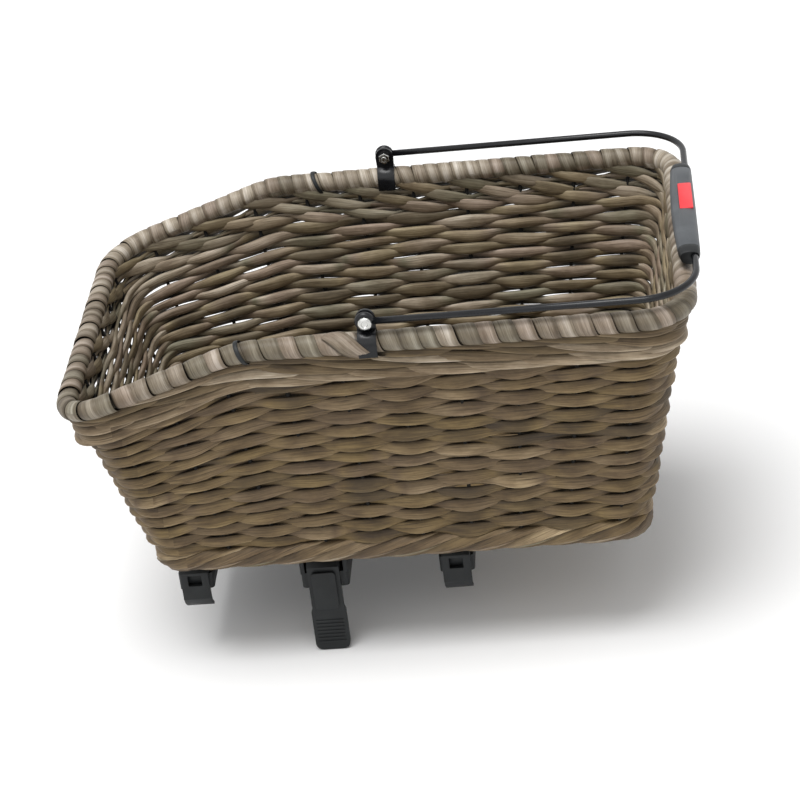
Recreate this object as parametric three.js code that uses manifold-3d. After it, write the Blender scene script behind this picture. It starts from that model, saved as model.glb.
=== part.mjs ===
// Woven bicycle basket with a folding carrying handle and a quick-release rack clamp.
// Millimetres, +Z up, +X towards the rear of the bicycle. The near side, with the
// release lever, is -Y. The origin is the middle of the clamp's underside, on the
// plane where it rests on the two rack tubes.
import * as THREE from 'three';
import { mergeVertices } from 'three/addons/utils/BufferGeometryUtils.js';
import Module from 'manifold-3d';

const wasm = await Module();
wasm.setup();

// Gap left between pieces that touch.
const seatGap = 0.3;
// Clearance round a bolt or screw in its hole.
const boltGap = 0.25;
// How far joined forms of one piece run into each other.
const rootDepth = 1;
// Half length of a tool that has to cut right through.
const throughReach = 40;

// Basket body.
const basketOffset = 54;        // basket middle, behind the clamp's middle
const basketLift = 35;          // underside of the foot, above the rack tubes
const rimLength = 410;          // along the middle of the rim
const rimWidth = 251;
const rimCornerRadius = 30;
const rimHeight = 174;          // middle of the rim above the underside
const frontRimHeight = 132;     // the rim dips to this height at the front
const rimDipLength = 121;       // length of the dip, measured back from the front
const rimDipBlend = 16;         // half length of the bend where the dip starts
const rimRadius = 7.5;
const rimWireRadius = 2.4;
const rimBoreRadius = 5;
const rimSlotAngle = 10;        // half the opening under the wrap, in degrees
const wrapTurns = 70;
const wrapStep = 0.8;           // each turn of the strip laps over the next by this much
const wrapLapShare = 0.14;      // share of a turn taken by its lapping edge

const footLength = 338;
const footWidth = 218;
const footOffset = 3.3;         // the foot's middle, behind the rim's middle
const footCornerRadius = 24;
const footHeight = 16;
const footDepth = 12;
const footRelief = 1.3;
const footTwistPitch = 48;

const wallHalfThickness = 2.9;
const wallInset = 5.5;          // wall middle, inside the foot's outer face
const wallRimInset = 2.5;       // wall middle, inside the rim's middle
const weaveRelief = 2.3;        // how far a strand stands in or out of the wall
const weaveRows = 24;           // rows under the waling, outside
const innerWeaveRows = 28;      // rows up to the rim, inside
const strandRidge = 0.4;        // height of a strand's ridge, as a share of its row
const stakeSpaces = [9, 1, 5, 1, 9, 1, 5, 1];  // spaces between stakes on each side and corner

const waleHeight = 20;
const waleDepth = 2.4;
const waleRelief = 0.8;
const waleEdge = 1.5;           // the waling's lower edge stops this far above the rows
const waleTwistPitch = 76;
const borderStations = 84;

const floorMiddle = 6;          // height of the floor's middle layer above the underside
const floorHalfThickness = 2.2;
const floorRelief = 1.3;
const floorStakes = 8;
const floorRows = 12;
const floorClearance = 0.6;     // between the floor's edge and the foot border
const floorHolePlay = 0.5;      // the strands stand this far clear of the clamp's screws

// Thin bands tied round the rim.
const tieBandWidth = 3;
const tieBandThickness = 0.8;
const tieBandSlack = 1.2;
const nearTieBandX = -80;
const farTieBandX = -48;

// Carrying handle.
const pivotX = 1.6;             // handle pivot, behind the basket's middle
const pivotRise = 16.5;         // handle pivot, above the rim's middle
const pivotOutset = 3;          // the wire's arms run this far outside the rim's middle
const handleOverhang = 7;       // the cross bar lies this far behind the rim's middle
const handleCornerRadius = 38;
const handleWireRadius = 2.25;
const eyeRadius = 4.5;          // wire middle, round the pivot screw

const gripLength = 137;
const gripCentreY = -5;
const gripCapLength = 9;
const gripInnerReach = 12.6;    // from the wire's middle towards the basket
const gripOuterReach = 4.3;     // from the wire's middle, away from the basket
const gripEndOuterReach = 3.8;
const gripEndInnerReach = 10.2;
const gripBelow = 8.4;
const gripAbove = 6;
const gripEndShare = 0.78;
const gripCapTaper = 1;
const inlayLength = 39;
const inlayWidth = 9;
const inlayDepth = 1;
const inlayProud = 0.1;
const inlayCornerRadius = 1.2;
const inlayCentreY = 11.6;      // from the middle of the grip
const inlayOffset = 2;          // from the middle of the grip's width, away from the basket

// Handle brackets on the rim.
const bracketWidth = 12;
const bracketThickness = 1.2;
const bracketLegDrop = 6.7;     // the strap's legs end this far below the rim's middle
const earThickness = 2;
const earRadius = 6.4;
const earRoot = 0.4;            // how deep the ear stands in the strap
const pivotWasherThickness = 0.6;
const pivotWasherRadius = 5.4;
const pivotScrewRadius = 1.9;
const pivotHeadRadius = 4.5;
const pivotHeadHeight = 2.5;
const pivotHeadEdge = 0.9;
const pivotSocketDepth = 0.8;
const pivotScrewTail = 1;       // the screw's end past its nut
const pivotNutWidth = 7;
const pivotNutHeight = 3.2;

// Rack clamp.
const tubeSpacing = 136;        // between the middles of the two rack tubes
const tubeRadius = 6;
const plateCornerRadius = 3;
const plateThickness = 12;
const plateWidth = 92;
const hookX = 90.5;             // middle of each hook, in front of and behind the lever
const hookWidth = 19.5;
const hookWall = 3;
const hookDrop = 5.5;           // straight part of the hook below the rack plane
const hookLip = 5.5;            // how far the lip reaches in under the tube
const hookWindowWidth = 9.5;
const hookWindowHeight = 8;
const hookWindowTop = 13.3;
const hookLipThickness = 2.4;
const hookHeelReach = 1.4;      // the inner corner of the hook under the tube
const hookHeelDrop = 3.4;
const hookToeReach = 3;         // the outer corner of the hook, cut off
const hookToeDrop = 5;
const hookShoulder = 2;
const hookLinerThickness = 1.2;
const hookLinerMargin = 1;
const hookLinerTop = -0.8;
const armWidth = 24;
const pedestalLength = 124;
const pedestalWidth = 76;
const pedestalCornerRadius = 10;
const pedestalLid = 3;
const pedestalEndInset = 8;     // the end ribs stand this far in from the lid's ends
const pedestalRibs = 5;
const pedestalRibThickness = 3;
const pedestalRibInset = 2;     // the ribs' ends stand this far in from the lid's sides
const bossRadius = 9;
const screwX = 48;
const screwY = 24;
const screwRadius = 2.7;
const screwHeadRadius = 6;
const screwHeadHeight = 2.6;
const screwHeadCrown = 2.2;
const screwSocketRadius = 1.9;
const screwSocketFloor = 1;
const screwDepth = 22;
const screwHoleTail = 8;
const innerPlateThickness = 3;
const innerPlateMargin = 14;
const innerPlateCornerRadius = 10;
const innerWindowInsetX = 30;
const innerWindowInsetY = 22;
const innerWindowRadius = 6;
const padLength = 18;
const padWidth = 8;
const padThickness = 2.5;
const padCornerRadius = 1.5;

// Sliding jaw and fixed jaw.
const jawThickness = 5;
const nearBeamInner = 44;       // inner edge of the beam that joins the sliding hooks
const farBeamInner = 36;        // inner edge of the beam that joins the fixed hooks
const jawBeamOuter = 56;
const jawBeamCornerRadius = 3;
const hookRoot = 4;             // how far each hook runs in over its beam
const tongueWidth = 12;
const tongueReach = 16;         // the tongue's inner end, from the clamp's middle
const keeperInner = 26;
const keeperOuter = 38;
const keeperWall = 3.4;
const forkHalfWidth = 10;
const forkAbovePeg = 0.3;        // fork walls stop this far above the middle of the peg
const forkWall = 3;
const forkFloor = 1.4;
const pegPlay = 0.6;
const jawScrewX = 42;
const jawScrewY = 42;
const jawScrewRadius = 2;
const jawScrewHeadRadius = 4.2;
const jawScrewHeadHeight = 2.4;
const jawScrewHeadEdge = 0.7;
const jawScrewEnd = 2;          // height of the screw's end above the rack plane
const jawSlotLength = 8;

// Release lever.
const leverPivotY = -76;
const leverPivotZ = 25;
const leverHubRadius = 5.5;
const leverHubHalfWidth = 13;
const leverWidth = 24;
const leverUpperWidth = 22;
const leverThickness = 4;
const leverCornerRadius = 5;
const leverFlare = 3;           // height over which the tab widens
const leverFaceOffset = 8;      // pivot to the inner face of the lever's plate
const leverTop = 19;
const leverBottom = -48;
const leverStep = -14;          // height where the thick upper part ends
const leverPanelWidth = 16.5;
const leverPanelThickness = 2.2;
const leverPanelCornerRadius = 2.5;
const leverPanelFoot = 0.5;     // the panel's lower edge above the step
const leverPanelHead = 3;       // the panel's upper edge below the lever's top
const leverNeckFoot = 13.5;     // height of the neck's underside
const leverNeckHead = 4.7;      // the neck's upper edge above the pivot
const leverNeckFront = 2;       // the neck's upper edges, inwards from the pivot
const leverNeckRear = 3;        // and outwards from it
const leverWebInner = 4;
const leverWebOuter = 8;
const leverWebFront = 3.2;      // the webs' edges at the pivot, inwards
const leverWebRear = 3;         // and outwards
const leverWebTip = 1.6;        // and each way at the peg
const leverPegRadius = 2;
const leverPegReach = 8.5;
const leverPegAngle = 30;       // rest angle of the peg, inwards from straight down
const leverRibs = 7;
const leverRibInset = 2.5;
const leverRibHeight = 0.6;
const leverRibShare = 0.45;
const leverRibStart = 6;        // above the tab's lower edge
const leverRibEnd = 8;          // below the step
const leverPinRadius = 2;
const cheekThickness = 3;
const cheekInner = 66;
const cheekOuter = 82.5;
const springHalfWidth = 4.2;
const springWireRadius = 0.7;
const springCoils = 5;
const springPlay = 0.5;
const springRoomReach = 12;     // room cut for the spring, behind and above the pin
const springRoomDrop = 2.4;

const material = (color, roughness, metalness = 0) =>
  new THREE.MeshStandardMaterial({ color, roughness, metalness });

const willow = material('#8f7f66', 0.75);
const willowWrap = material('#a89a85', 0.7);
const paintedSteel = material('#1d1e20', 0.4, 0.6);
const zincSteel = material('#c9c9c4', 0.35, 0.9);
const springSteel = material('#8a8c8e', 0.35, 0.9);
const blackNylon = material('#232526', 0.55);
const greyGrip = material('#5c6064', 0.6);
const redInlay = material('#e0353b', 0.5);
const blackRubber = material('#191a1a', 0.85);

const root = new THREE.Group();
const basket = new THREE.Group();
basket.position.set(basketOffset, 0, basketLift);
root.add(basket);

function place(name, geometry, finish, group = root) {
  geometry.computeVertexNormals();
  const mesh = new THREE.Mesh(geometry, finish);
  mesh.name = name;
  group.add(mesh);
  return mesh;
}

// Joining and cutting.

function toSolid(geometry) {
  const bare = geometry.clone();
  for (const name of Object.keys(bare.attributes)) {
    if (name !== 'position') bare.deleteAttribute(name);
  }
  const merged = mergeVertices(bare, 1e-4);
  return new wasm.Manifold(new wasm.Mesh({
    numProp: 3,
    vertProperties: new Float32Array(merged.attributes.position.array),
    triVerts: new Uint32Array(merged.index.array),
  }));
}

function toGeometry(solid) {
  const { vertProperties, triVerts } = solid.asOriginal().getMesh();
  const geometry = new THREE.BufferGeometry();
  geometry.setAttribute('position', new THREE.BufferAttribute(new Float32Array(vertProperties), 3));
  geometry.setIndex([...triVerts]);
  return geometry;
}

function join(...pieces) {
  return toGeometry(pieces.map(toSolid).reduce((whole, next) => whole.add(next)));
}

function cut(piece, ...tools) {
  return toGeometry(tools.map(toSolid).reduce((whole, next) => whole.subtract(next), toSolid(piece)));
}

// Simple forms.

function block([x0, x1], [y0, y1], [z0, z1]) {
  const box = new THREE.BoxGeometry(x1 - x0, y1 - y0, z1 - z0);
  return box.translate((x0 + x1) / 2, (y0 + y1) / 2, (z0 + z1) / 2);
}

function roundedPlate([x0, x1], [y0, y1], [z0, z1], radius, arcSteps = 2) {
  const shape = new THREE.Shape();
  shape.absarc(x1 - radius, y0 + radius, radius, -Math.PI / 2, 0);
  shape.absarc(x1 - radius, y1 - radius, radius, 0, Math.PI / 2);
  shape.absarc(x0 + radius, y1 - radius, radius, Math.PI / 2, Math.PI);
  shape.absarc(x0 + radius, y0 + radius, radius, Math.PI, 1.5 * Math.PI);
  const options = { depth: z1 - z0, bevelEnabled: false, curveSegments: arcSteps };
  return new THREE.ExtrudeGeometry(shape, options).translate(0, 0, z0);
}

// A shape drawn in the YZ plane and drawn out along X.
function alongX(shape, [x0, x1], arcSteps = 3) {
  const options = { depth: x1 - x0, bevelEnabled: false, curveSegments: arcSteps };
  const turn = new THREE.Matrix4().makeBasis(
    new THREE.Vector3(0, 1, 0), new THREE.Vector3(0, 0, 1), new THREE.Vector3(1, 0, 0));
  return new THREE.ExtrudeGeometry(shape, options).applyMatrix4(turn).translate(x0, 0, 0);
}

// A shape drawn in the XZ plane and drawn out along Y.
function alongY(shape, [y0, y1], arcSteps = 3) {
  const options = { depth: y1 - y0, bevelEnabled: false, curveSegments: arcSteps };
  const turn = new THREE.Matrix4().makeBasis(
    new THREE.Vector3(1, 0, 0), new THREE.Vector3(0, 0, 1), new THREE.Vector3(0, -1, 0));
  return new THREE.ExtrudeGeometry(shape, options).applyMatrix4(turn).translate(0, y1, 0);
}

function rodX([x0, x1], y, z, radius, sides = 12) {
  const rod = new THREE.CylinderGeometry(radius, radius, x1 - x0, sides);
  return rod.rotateZ(Math.PI / 2).translate((x0 + x1) / 2, y, z);
}

function rodY([y0, y1], x, z, radius, sides = 12) {
  const rod = new THREE.CylinderGeometry(radius, radius, y1 - y0, sides);
  return rod.translate(x, (y0 + y1) / 2, z);
}

function rodZ([z0, z1], x, y, radius, sides = 12) {
  const rod = new THREE.CylinderGeometry(radius, radius, z1 - z0, sides);
  return rod.rotateX(Math.PI / 2).translate(x, y, (z0 + z1) / 2);
}

// An outline whose corners, inner ones too, are rounded off.
function roundedPolygon(points, radius) {
  const shape = new THREE.Shape();
  points.forEach((point, k) => {
    const corner = new THREE.Vector2(...point);
    const before = new THREE.Vector2(...points.at(k - 1));
    const after = new THREE.Vector2(...points[(k + 1) % points.length]);
    const start = before.sub(corner).setLength(radius).add(corner);
    const end = after.sub(corner).setLength(radius).add(corner);
    if (k === 0) shape.moveTo(start.x, start.y);
    else shape.lineTo(start.x, start.y);
    shape.quadraticCurveTo(corner.x, corner.y, end.x, end.y);
  });
  return shape;
}

function polygon(points) {
  return new THREE.Shape(points.map(([a, b]) => new THREE.Vector2(a, b)));
}

// A closed skin over rings of points. A loop joins the last ring to the first,
// and otherwise the two end rings are closed with flat fans. Each face is split along one
// diagonal, or along the other where isCrossed says so of its ring and point.
function skin(rings, isLoop, isCrossed = () => false) {
  const around = rings[0].length;
  const index = [];
  const at = (ring, k) => (ring % rings.length) * around + (k % around);
  const bands = isLoop ? rings.length : rings.length - 1;
  for (let ring = 0; ring < bands; ring++) {
    for (let k = 0; k < around; k++) {
      const face = [at(ring, k), at(ring, k + 1), at(ring + 1, k + 1), at(ring + 1, k)];
      const [a, b, c, d] = isCrossed(ring, k) ? [...face.slice(1), face[0]] : face;
      index.push(a, b, c, a, c, d);
    }
  }
  if (!isLoop) {
    for (let k = 1; k < around - 1; k++) {
      index.push(at(0, 0), at(0, k + 1), at(0, k));
      index.push(at(bands, 0), at(bands, k), at(bands, k + 1));
    }
  }
  const points = rings.flat();
  const corner = (i) => new THREE.Vector3(...points[index[i]]);
  const volume = index.reduce((sum, _, i) =>
    (i % 3 ? sum : sum + corner(i).dot(corner(i + 1).cross(corner(i + 2)))), 0);
  if (volume < 0) index.reverse();
  const geometry = new THREE.BufferGeometry();
  geometry.setAttribute('position', new THREE.Float32BufferAttribute(points.flat(), 3));
  geometry.setIndex(index);
  return geometry;
}

// Rounded oblong outlines in plan, walked counter-clockwise from the near side.

function outline(middle, length, width, radius) {
  return { front: middle - length / 2, rear: middle + length / 2, half: width / 2, radius };
}

function inset(line, distance) {
  return {
    front: line.front + distance,
    rear: line.rear - distance,
    half: line.half - distance,
    radius: Math.max(line.radius - distance, 1),
  };
}

function stretches({ front, rear, half, radius }) {
  const side = (x0, y0, x1, y1, nx, ny) => ({
    length: Math.hypot(x1 - x0, y1 - y0),
    at: (share) => ({ x: x0 + (x1 - x0) * share, y: y0 + (y1 - y0) * share, nx, ny }),
  });
  const corner = (cx, cy, start) => ({
    length: radius * Math.PI / 2,
    at: (share) => {
      const angle = start + share * Math.PI / 2;
      const nx = Math.cos(angle);
      const ny = Math.sin(angle);
      return { x: cx + radius * nx, y: cy + radius * ny, nx, ny };
    },
  });
  const [f, r, h] = [front + radius, rear - radius, half - radius];
  return [
    side(f, -half, r, -half, 0, -1),
    corner(r, -h, -Math.PI / 2),
    side(rear, -h, rear, h, 1, 0),
    corner(r, h, 0),
    side(r, half, f, half, 0, 1),
    corner(f, h, Math.PI / 2),
    side(front, h, front, -h, -1, 0),
    corner(f, -h, Math.PI),
  ];
}

function perimeter(line) {
  return stretches(line).reduce((sum, stretch) => sum + stretch.length, 0);
}

function pointAtDistance(line, distance) {
  let left = distance;
  const parts = stretches(line);
  for (const part of parts) {
    if (left <= part.length) return part.at(left / part.length);
    left -= part.length;
  }
  return parts[0].at(0);
}

// Points spread over the sides and corners in the given numbers of steps.
function pointsBySteps(line, steps) {
  return stretches(line).flatMap((part, side) =>
    Array.from({ length: steps[side] }, (_, k) => part.at(k / steps[side])));
}

// Basket.

const rimLine = outline(0, rimLength, rimWidth, rimCornerRadius);
const footLine = outline(footOffset, footLength, footWidth, footCornerRadius);
const rimDipStart = -rimLength / 2 + rimDipLength;

// Height of the rim's middle. It is level, then dips to the front after a soft bend.
function rimHeightAt(x) {
  const slope = (rimHeight - frontRimHeight) / rimDipLength;
  const ahead = rimDipStart - x;
  if (ahead <= -rimDipBlend) return rimHeight;
  if (ahead >= rimDipBlend) return rimHeight - slope * ahead;
  return rimHeight - slope * (ahead + rimDipBlend) ** 2 / (4 * rimDipBlend);
}

// The stakes, with one more point in the middle of each corner. turn is 1 and -1 by turns,
// for the side of each stake that a row's strand passes, and 0 where it crosses the wall.
function stakePoints(line) {
  let stake = 0;
  return stretches(line).flatMap((part, stretch) => {
    const spaces = stakeSpaces[stretch];
    const steps = spaces === 1 ? 2 : spaces;
    return Array.from({ length: steps }, (_, k) => {
      const isStake = k * spaces % steps === 0;
      return { ...part.at(k / steps), turn: isStake ? (-1) ** stake++ : 0 };
    });
  });
}

// The wall leans out from the foot to the rim. Each row is a strand that stands out past
// one stake and in past the next, and the rows alternate.
function wovenWall() {
  const low = stakePoints(inset(footLine, wallInset));
  const high = stakePoints(inset(rimLine, wallRimInset));
  const bottom = () => footHeight + seatGap;
  const top = (x) => rimHeightAt(x) - rimRadius - seatGap;
  const underWale = (x) => top(x) - waleHeight;
  const ring = (heightAt, side, wave) => low.map((from, k) => {
    const to = high[k];
    const z = heightAt(to.x);
    const lean = z / rimHeightAt(to.x);
    const out = side * wallHalfThickness + wave * from.turn;
    const point = [
      from.x + (to.x - from.x) * lean + from.nx * out,
      from.y + (to.y - from.y) * lean + from.ny * out,
      z,
    ];
    return { point, stand: Math.abs(out) };
  });
  const rows = (side, count, end) => Array.from({ length: count }, (_, k) => ring(
    (x) => bottom() + (end(x) - bottom()) * (k + strandRidge) / count, side, weaveRelief * (-1) ** k));
  const outer = [ring(bottom, 1, 0), ...rows(1, weaveRows, underWale)];
  const inner = [ring(bottom, -1, 0), ...rows(-1, innerWeaveRows, top)];
  const rings = [...outer, ring(underWale, 1, 0), ring(top, 1, 0), ring(top, -1, 0), ...inner.reverse()];
  // A face is split between its two corners nearest the wall's middle, which leaves each
  // strand a pointed boss at its stake.
  const stand = (i, k) => rings[i % rings.length][k % low.length].stand;
  const isCrossed = (i, k) => stand(i, k) + stand(i + 1, k + 1) > stand(i, k + 1) + stand(i + 1, k);
  const points = rings.map((corners) => corners.map(({ point }) => point));
  // Faces that share no corners keep the strands crisp.
  return skin(points, true, isCrossed).toNonIndexed();
}

// A border swept round an outline, with twisted strands on the faces given a share.
function twistedBorder(line, section, relief, pitch, heightAt) {
  const round = perimeter(line);
  const twists = Math.round(round / pitch);
  const rings = Array.from({ length: borderStations }, (_, station) => {
    const share = station / borderStations;
    const p = pointAtDistance(line, share * round);
    return section.map(({ out, up, strand = 0, lag = 0 }) => {
      const swell = strand * relief * Math.cos(2 * Math.PI * (twists * share + lag));
      return [p.x + p.nx * (out + swell), p.y + p.ny * (out + swell), heightAt(p.x) + up];
    });
  });
  return skin(rings, true);
}

function footBorder() {
  const section = [
    { out: -footDepth, up: 2 },
    { out: -footDepth + 3, up: 0 },
    { out: -3.4, up: 0, strand: 0.4, lag: 0.3 },
    { out: -0.9, up: footHeight * 0.22, strand: 0.8, lag: 0.15 },
    { out: 0, up: footHeight * 0.5, strand: 1, lag: 0 },
    { out: -0.6, up: footHeight * 0.8, strand: 0.8, lag: -0.15 },
    { out: -2.4, up: footHeight, strand: 0.3, lag: -0.3 },
    { out: -footDepth, up: footHeight },
  ];
  return twistedBorder(footLine, section, footRelief, footTwistPitch, () => 0);
}

// The waling lies on the wall's outside, just under the rim.
function upperWale() {
  const lean = 1 - (rimRadius + waleHeight / 2) / rimHeight;
  const line = inset(rimLine, wallRimInset - wallHalfThickness - seatGap);
  const shrink = (wallInset - wallRimInset + (rimWidth - footWidth) / 2) * (1 - lean);
  const section = [
    { out: 0, up: 0 },
    { out: waleDepth * 0.7, up: -1, strand: 0.7, lag: 0.12 },
    { out: waleDepth, up: -waleHeight * 0.36, strand: 1, lag: 0.04 },
    { out: waleDepth, up: -waleHeight * 0.68, strand: 1, lag: -0.04 },
    { out: waleDepth * 0.6, up: -waleHeight + waleEdge, strand: 0.6, lag: -0.12 },
    { out: 0, up: -waleHeight + waleEdge },
  ].map((point) => ({ ...point, out: point.out + shrink * point.up / waleHeight }));
  return twistedBorder(line, section, waleRelief, waleTwistPitch,
    (x) => rimHeightAt(x) - rimRadius - seatGap);
}

// Points of the wrap's section: most of a circle, left open underneath where the
// wall's top is held, round a bore for the rim wire.
function wrapSection(radius, arcPoints, boreRadius, borePoints) {
  const open = THREE.MathUtils.degToRad(rimSlotAngle);
  const arc = (r, count) => Array.from({ length: count }, (_, k) => {
    const angle = -Math.PI / 2 + open + (2 * Math.PI - 2 * open) * k / (count - 1);
    return [r * Math.cos(angle), r * Math.sin(angle)];
  });
  return [...arc(radius, arcPoints), ...arc(boreRadius, borePoints).reverse()];
}

function rimWrap() {
  const round = perimeter(rimLine);
  const rings = [];
  for (let turn = 0; turn < wrapTurns; turn++) {
    for (const [share, radius] of [[0, rimRadius - wrapStep], [1 - wrapLapShare, rimRadius]]) {
      const p = pointAtDistance(rimLine, (turn + share) / wrapTurns * round);
      const z = rimHeightAt(p.x);
      rings.push(wrapSection(radius, 7, rimBoreRadius, 5)
        .map(([out, up]) => [p.x + p.nx * out, p.y + p.ny * out, z + up]));
    }
  }
  return skin(rings, true);
}

function rimWire() {
  const points = pointsBySteps(rimLine, [12, 5, 2, 5, 12, 5, 2, 5]);
  const sides = 6;
  return skin(points.map((p) => Array.from({ length: sides }, (_, k) => {
    const angle = 2 * Math.PI * (k + 0.5) / sides;
    const out = rimWireRadius * Math.cos(angle);
    return [p.x + p.nx * out, p.y + p.ny * out, rimHeightAt(p.x) + rimWireRadius * Math.sin(angle)];
  })), true);
}

// The floor is woven like the wall, on stakes that run from side to side.
function wovenFloor() {
  const line = inset(footLine, footDepth + floorClearance);
  const middle = (line.front + line.rear) / 2;
  const halfLength = (line.rear - line.front) / 2;
  const corner = (x, y) => {
    const dx = Math.abs(x - middle) - (halfLength - line.radius);
    const dy = Math.abs(y) - (line.half - line.radius);
    const reach = Math.hypot(dx, dy);
    if (dx <= 0 || dy <= 0 || reach <= line.radius) return [x, y];
    const pull = 1 - line.radius / reach;
    return [x - Math.sign(x - middle) * dx * pull, y - Math.sign(y) * dy * pull];
  };
  const steps = floorStakes + 1;
  const row = (k, face) => Array.from({ length: steps + 1 }, (_, i) => {
    const isEdge = i === 0 || i === steps || k === 0 || k === floorRows;
    const wave = isEdge ? 0 : floorRelief * (-1) ** (i + k);
    const [x, y] = corner(line.front + 2 * halfLength * i / steps, line.half * (2 * k / floorRows - 1));
    return [x, y, floorMiddle + face * floorHalfThickness + wave];
  });
  const rings = Array.from({ length: floorRows + 1 }, (_, k) =>
    [...row(k, 1), ...row(k, -1).reverse()]);
  const last = steps * 2 + 1;
  const geometry = skin(rings, false);
  const index = [...geometry.index.array].slice(0, floorRows * (last + 1) * 6);
  const sign = index[0] < index[1] ? 1 : -1;
  // Each end row is a narrow strip between the two faces.
  for (const [ring, turn] of [[0, 1], [floorRows, -1]]) {
    for (let i = 0; i < steps; i++) {
      const a = ring * (last + 1) + i;
      const b = a + 1;
      const c = ring * (last + 1) + last - i - 1;
      const d = c + 1;
      index.push(...(turn * sign > 0 ? [a, c, b, a, d, c] : [a, b, c, a, c, d]));
    }
  }
  geometry.setIndex(index);
  return cut(geometry, ...clampScrewPlaces.map(([x, y]) =>
    rodZ([-throughReach, throughReach], x - basketOffset, y, screwRadius + floorHolePlay, 10)));
}

const clampScrewPlaces = [-1, 1].flatMap((sx) => [-1, 1].map((sy) => [sx * screwX, sy * screwY]));

// A thin strap bent over the rim, open underneath.
function tieBand(x, side) {
  const inner = rimRadius + tieBandSlack;
  const outer = inner + tieBandThickness;
  const shape = new THREE.Shape();
  const half = THREE.MathUtils.degToRad(145);
  shape.absarc(0, 0, outer, Math.PI / 2 - half, Math.PI / 2 + half);
  shape.absarc(0, 0, inner, Math.PI / 2 + half, Math.PI / 2 - half, true);
  return alongX(shape, [-tieBandWidth / 2, tieBandWidth / 2], 6)
    .rotateZ(side * 0.35).translate(x, side * rimWidth / 2, rimHeightAt(x));
}

place('woven_wall', wovenWall(), willow, basket);
place('woven_floor', wovenFloor(), willow, basket);
place('foot_border', footBorder(), willow, basket);
place('upper_wale', upperWale(), willow, basket);
place('rim_wire', rimWire(), paintedSteel, basket);
place('rim_wrap', rimWrap(), willowWrap, basket);
place('near_tie_band', tieBand(nearTieBandX, -1), blackNylon, basket);
place('far_tie_band', tieBand(farTieBandX, 1), blackNylon, basket);

// Sizes of the handle that follow from the rim.
const pivotHeight = rimHeight + pivotRise;
const handleWidth = rimWidth + 2 * pivotOutset;
const handleReach = rimLength / 2 + handleOverhang - pivotX;

// Handle brackets, one on each long side. side is -1 for near and 1 for far.
const earInner = handleWidth / 2 - handleWireRadius - 2 * seatGap - pivotWasherThickness - earThickness;
const earOuter = earInner + earThickness;

function span(side, inner, outer) {
  return side > 0 ? [inner, outer] : [-outer, -inner];
}

function pivotBracket(side) {
  const inner = rimRadius + seatGap;
  const outer = inner + bracketThickness;
  const legEnd = -bracketLegDrop;
  const saddle = new THREE.Shape();
  saddle.moveTo(outer, legEnd);
  saddle.absarc(0, 0, outer, 0, Math.PI);
  saddle.lineTo(-outer, legEnd);
  saddle.lineTo(-inner, legEnd);
  saddle.absarc(0, 0, inner, Math.PI, 0, true);
  saddle.lineTo(inner, legEnd);
  const strap = alongX(saddle, [pivotX - bracketWidth / 2, pivotX + bracketWidth / 2], 5)
    .translate(0, side * rimWidth / 2, rimHeight);
  const earShape = new THREE.Shape();
  earShape.absarc(pivotX, pivotHeight, earRadius, 0, Math.PI);
  earShape.lineTo(pivotX - bracketWidth / 2, rimHeight + inner + earRoot);
  earShape.lineTo(pivotX + bracketWidth / 2, rimHeight + inner + earRoot);
  const ear = alongY(earShape, span(side, earInner, earOuter), 4);
  const hole = rodY([-rimWidth, rimWidth], pivotX, pivotHeight, pivotScrewRadius + seatGap);
  return cut(join(strap, ear), hole);
}

function pivotScrew(side) {
  const headInner = handleWidth / 2 + handleWireRadius + seatGap;
  const crown = headInner + pivotHeadHeight;
  const shankEnd = earInner - seatGap - pivotNutHeight - pivotScrewTail;
  const profile = [
    [0, shankEnd], [pivotScrewRadius, shankEnd], [pivotScrewRadius, headInner],
    [pivotHeadRadius, headInner], [pivotHeadRadius, crown - pivotHeadEdge], [pivotHeadRadius * 0.72, crown],
    [pivotHeadRadius * 0.5, crown], [pivotHeadRadius * 0.42, crown - pivotSocketDepth],
    [0, crown - pivotSocketDepth],
  ].map(([radius, along]) => new THREE.Vector2(radius, along));
  const screw = new THREE.LatheGeometry(profile, 12);
  if (side < 0) screw.rotateX(Math.PI);
  return screw.translate(pivotX, 0, pivotHeight);
}

function pivotNut(side) {
  const outer = earInner - seatGap;
  const corner = pivotNutWidth / 2 / Math.cos(Math.PI / 6);
  const body = rodY(span(side, outer - pivotNutHeight, outer), pivotX, pivotHeight, corner, 6);
  return cut(body, rodY([-rimWidth, rimWidth], pivotX, pivotHeight, pivotScrewRadius + boltGap));
}

function pivotWasher(side) {
  const inner = earOuter + seatGap;
  const range = span(side, inner, inner + pivotWasherThickness);
  const disc = rodY(range, pivotX, pivotHeight, pivotWasherRadius, 14);
  return cut(disc, rodY([-rimWidth, rimWidth], pivotX, pivotHeight, pivotScrewRadius + boltGap));
}

for (const [label, side] of [['near', -1], ['far', 1]]) {
  place(`${label}_pivot_bracket`, pivotBracket(side), paintedSteel, basket);
  place(`${label}_pivot_screw`, pivotScrew(side), zincSteel, basket);
  place(`${label}_pivot_nut`, pivotNut(side), zincSteel, basket);
  place(`${label}_pivot_washer`, pivotWasher(side), blackNylon, basket);
}

// Carrying handle, folded back on the rim.
const handle = new THREE.Group();
handle.position.set(pivotX, 0, pivotHeight);
basket.add(handle);

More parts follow.
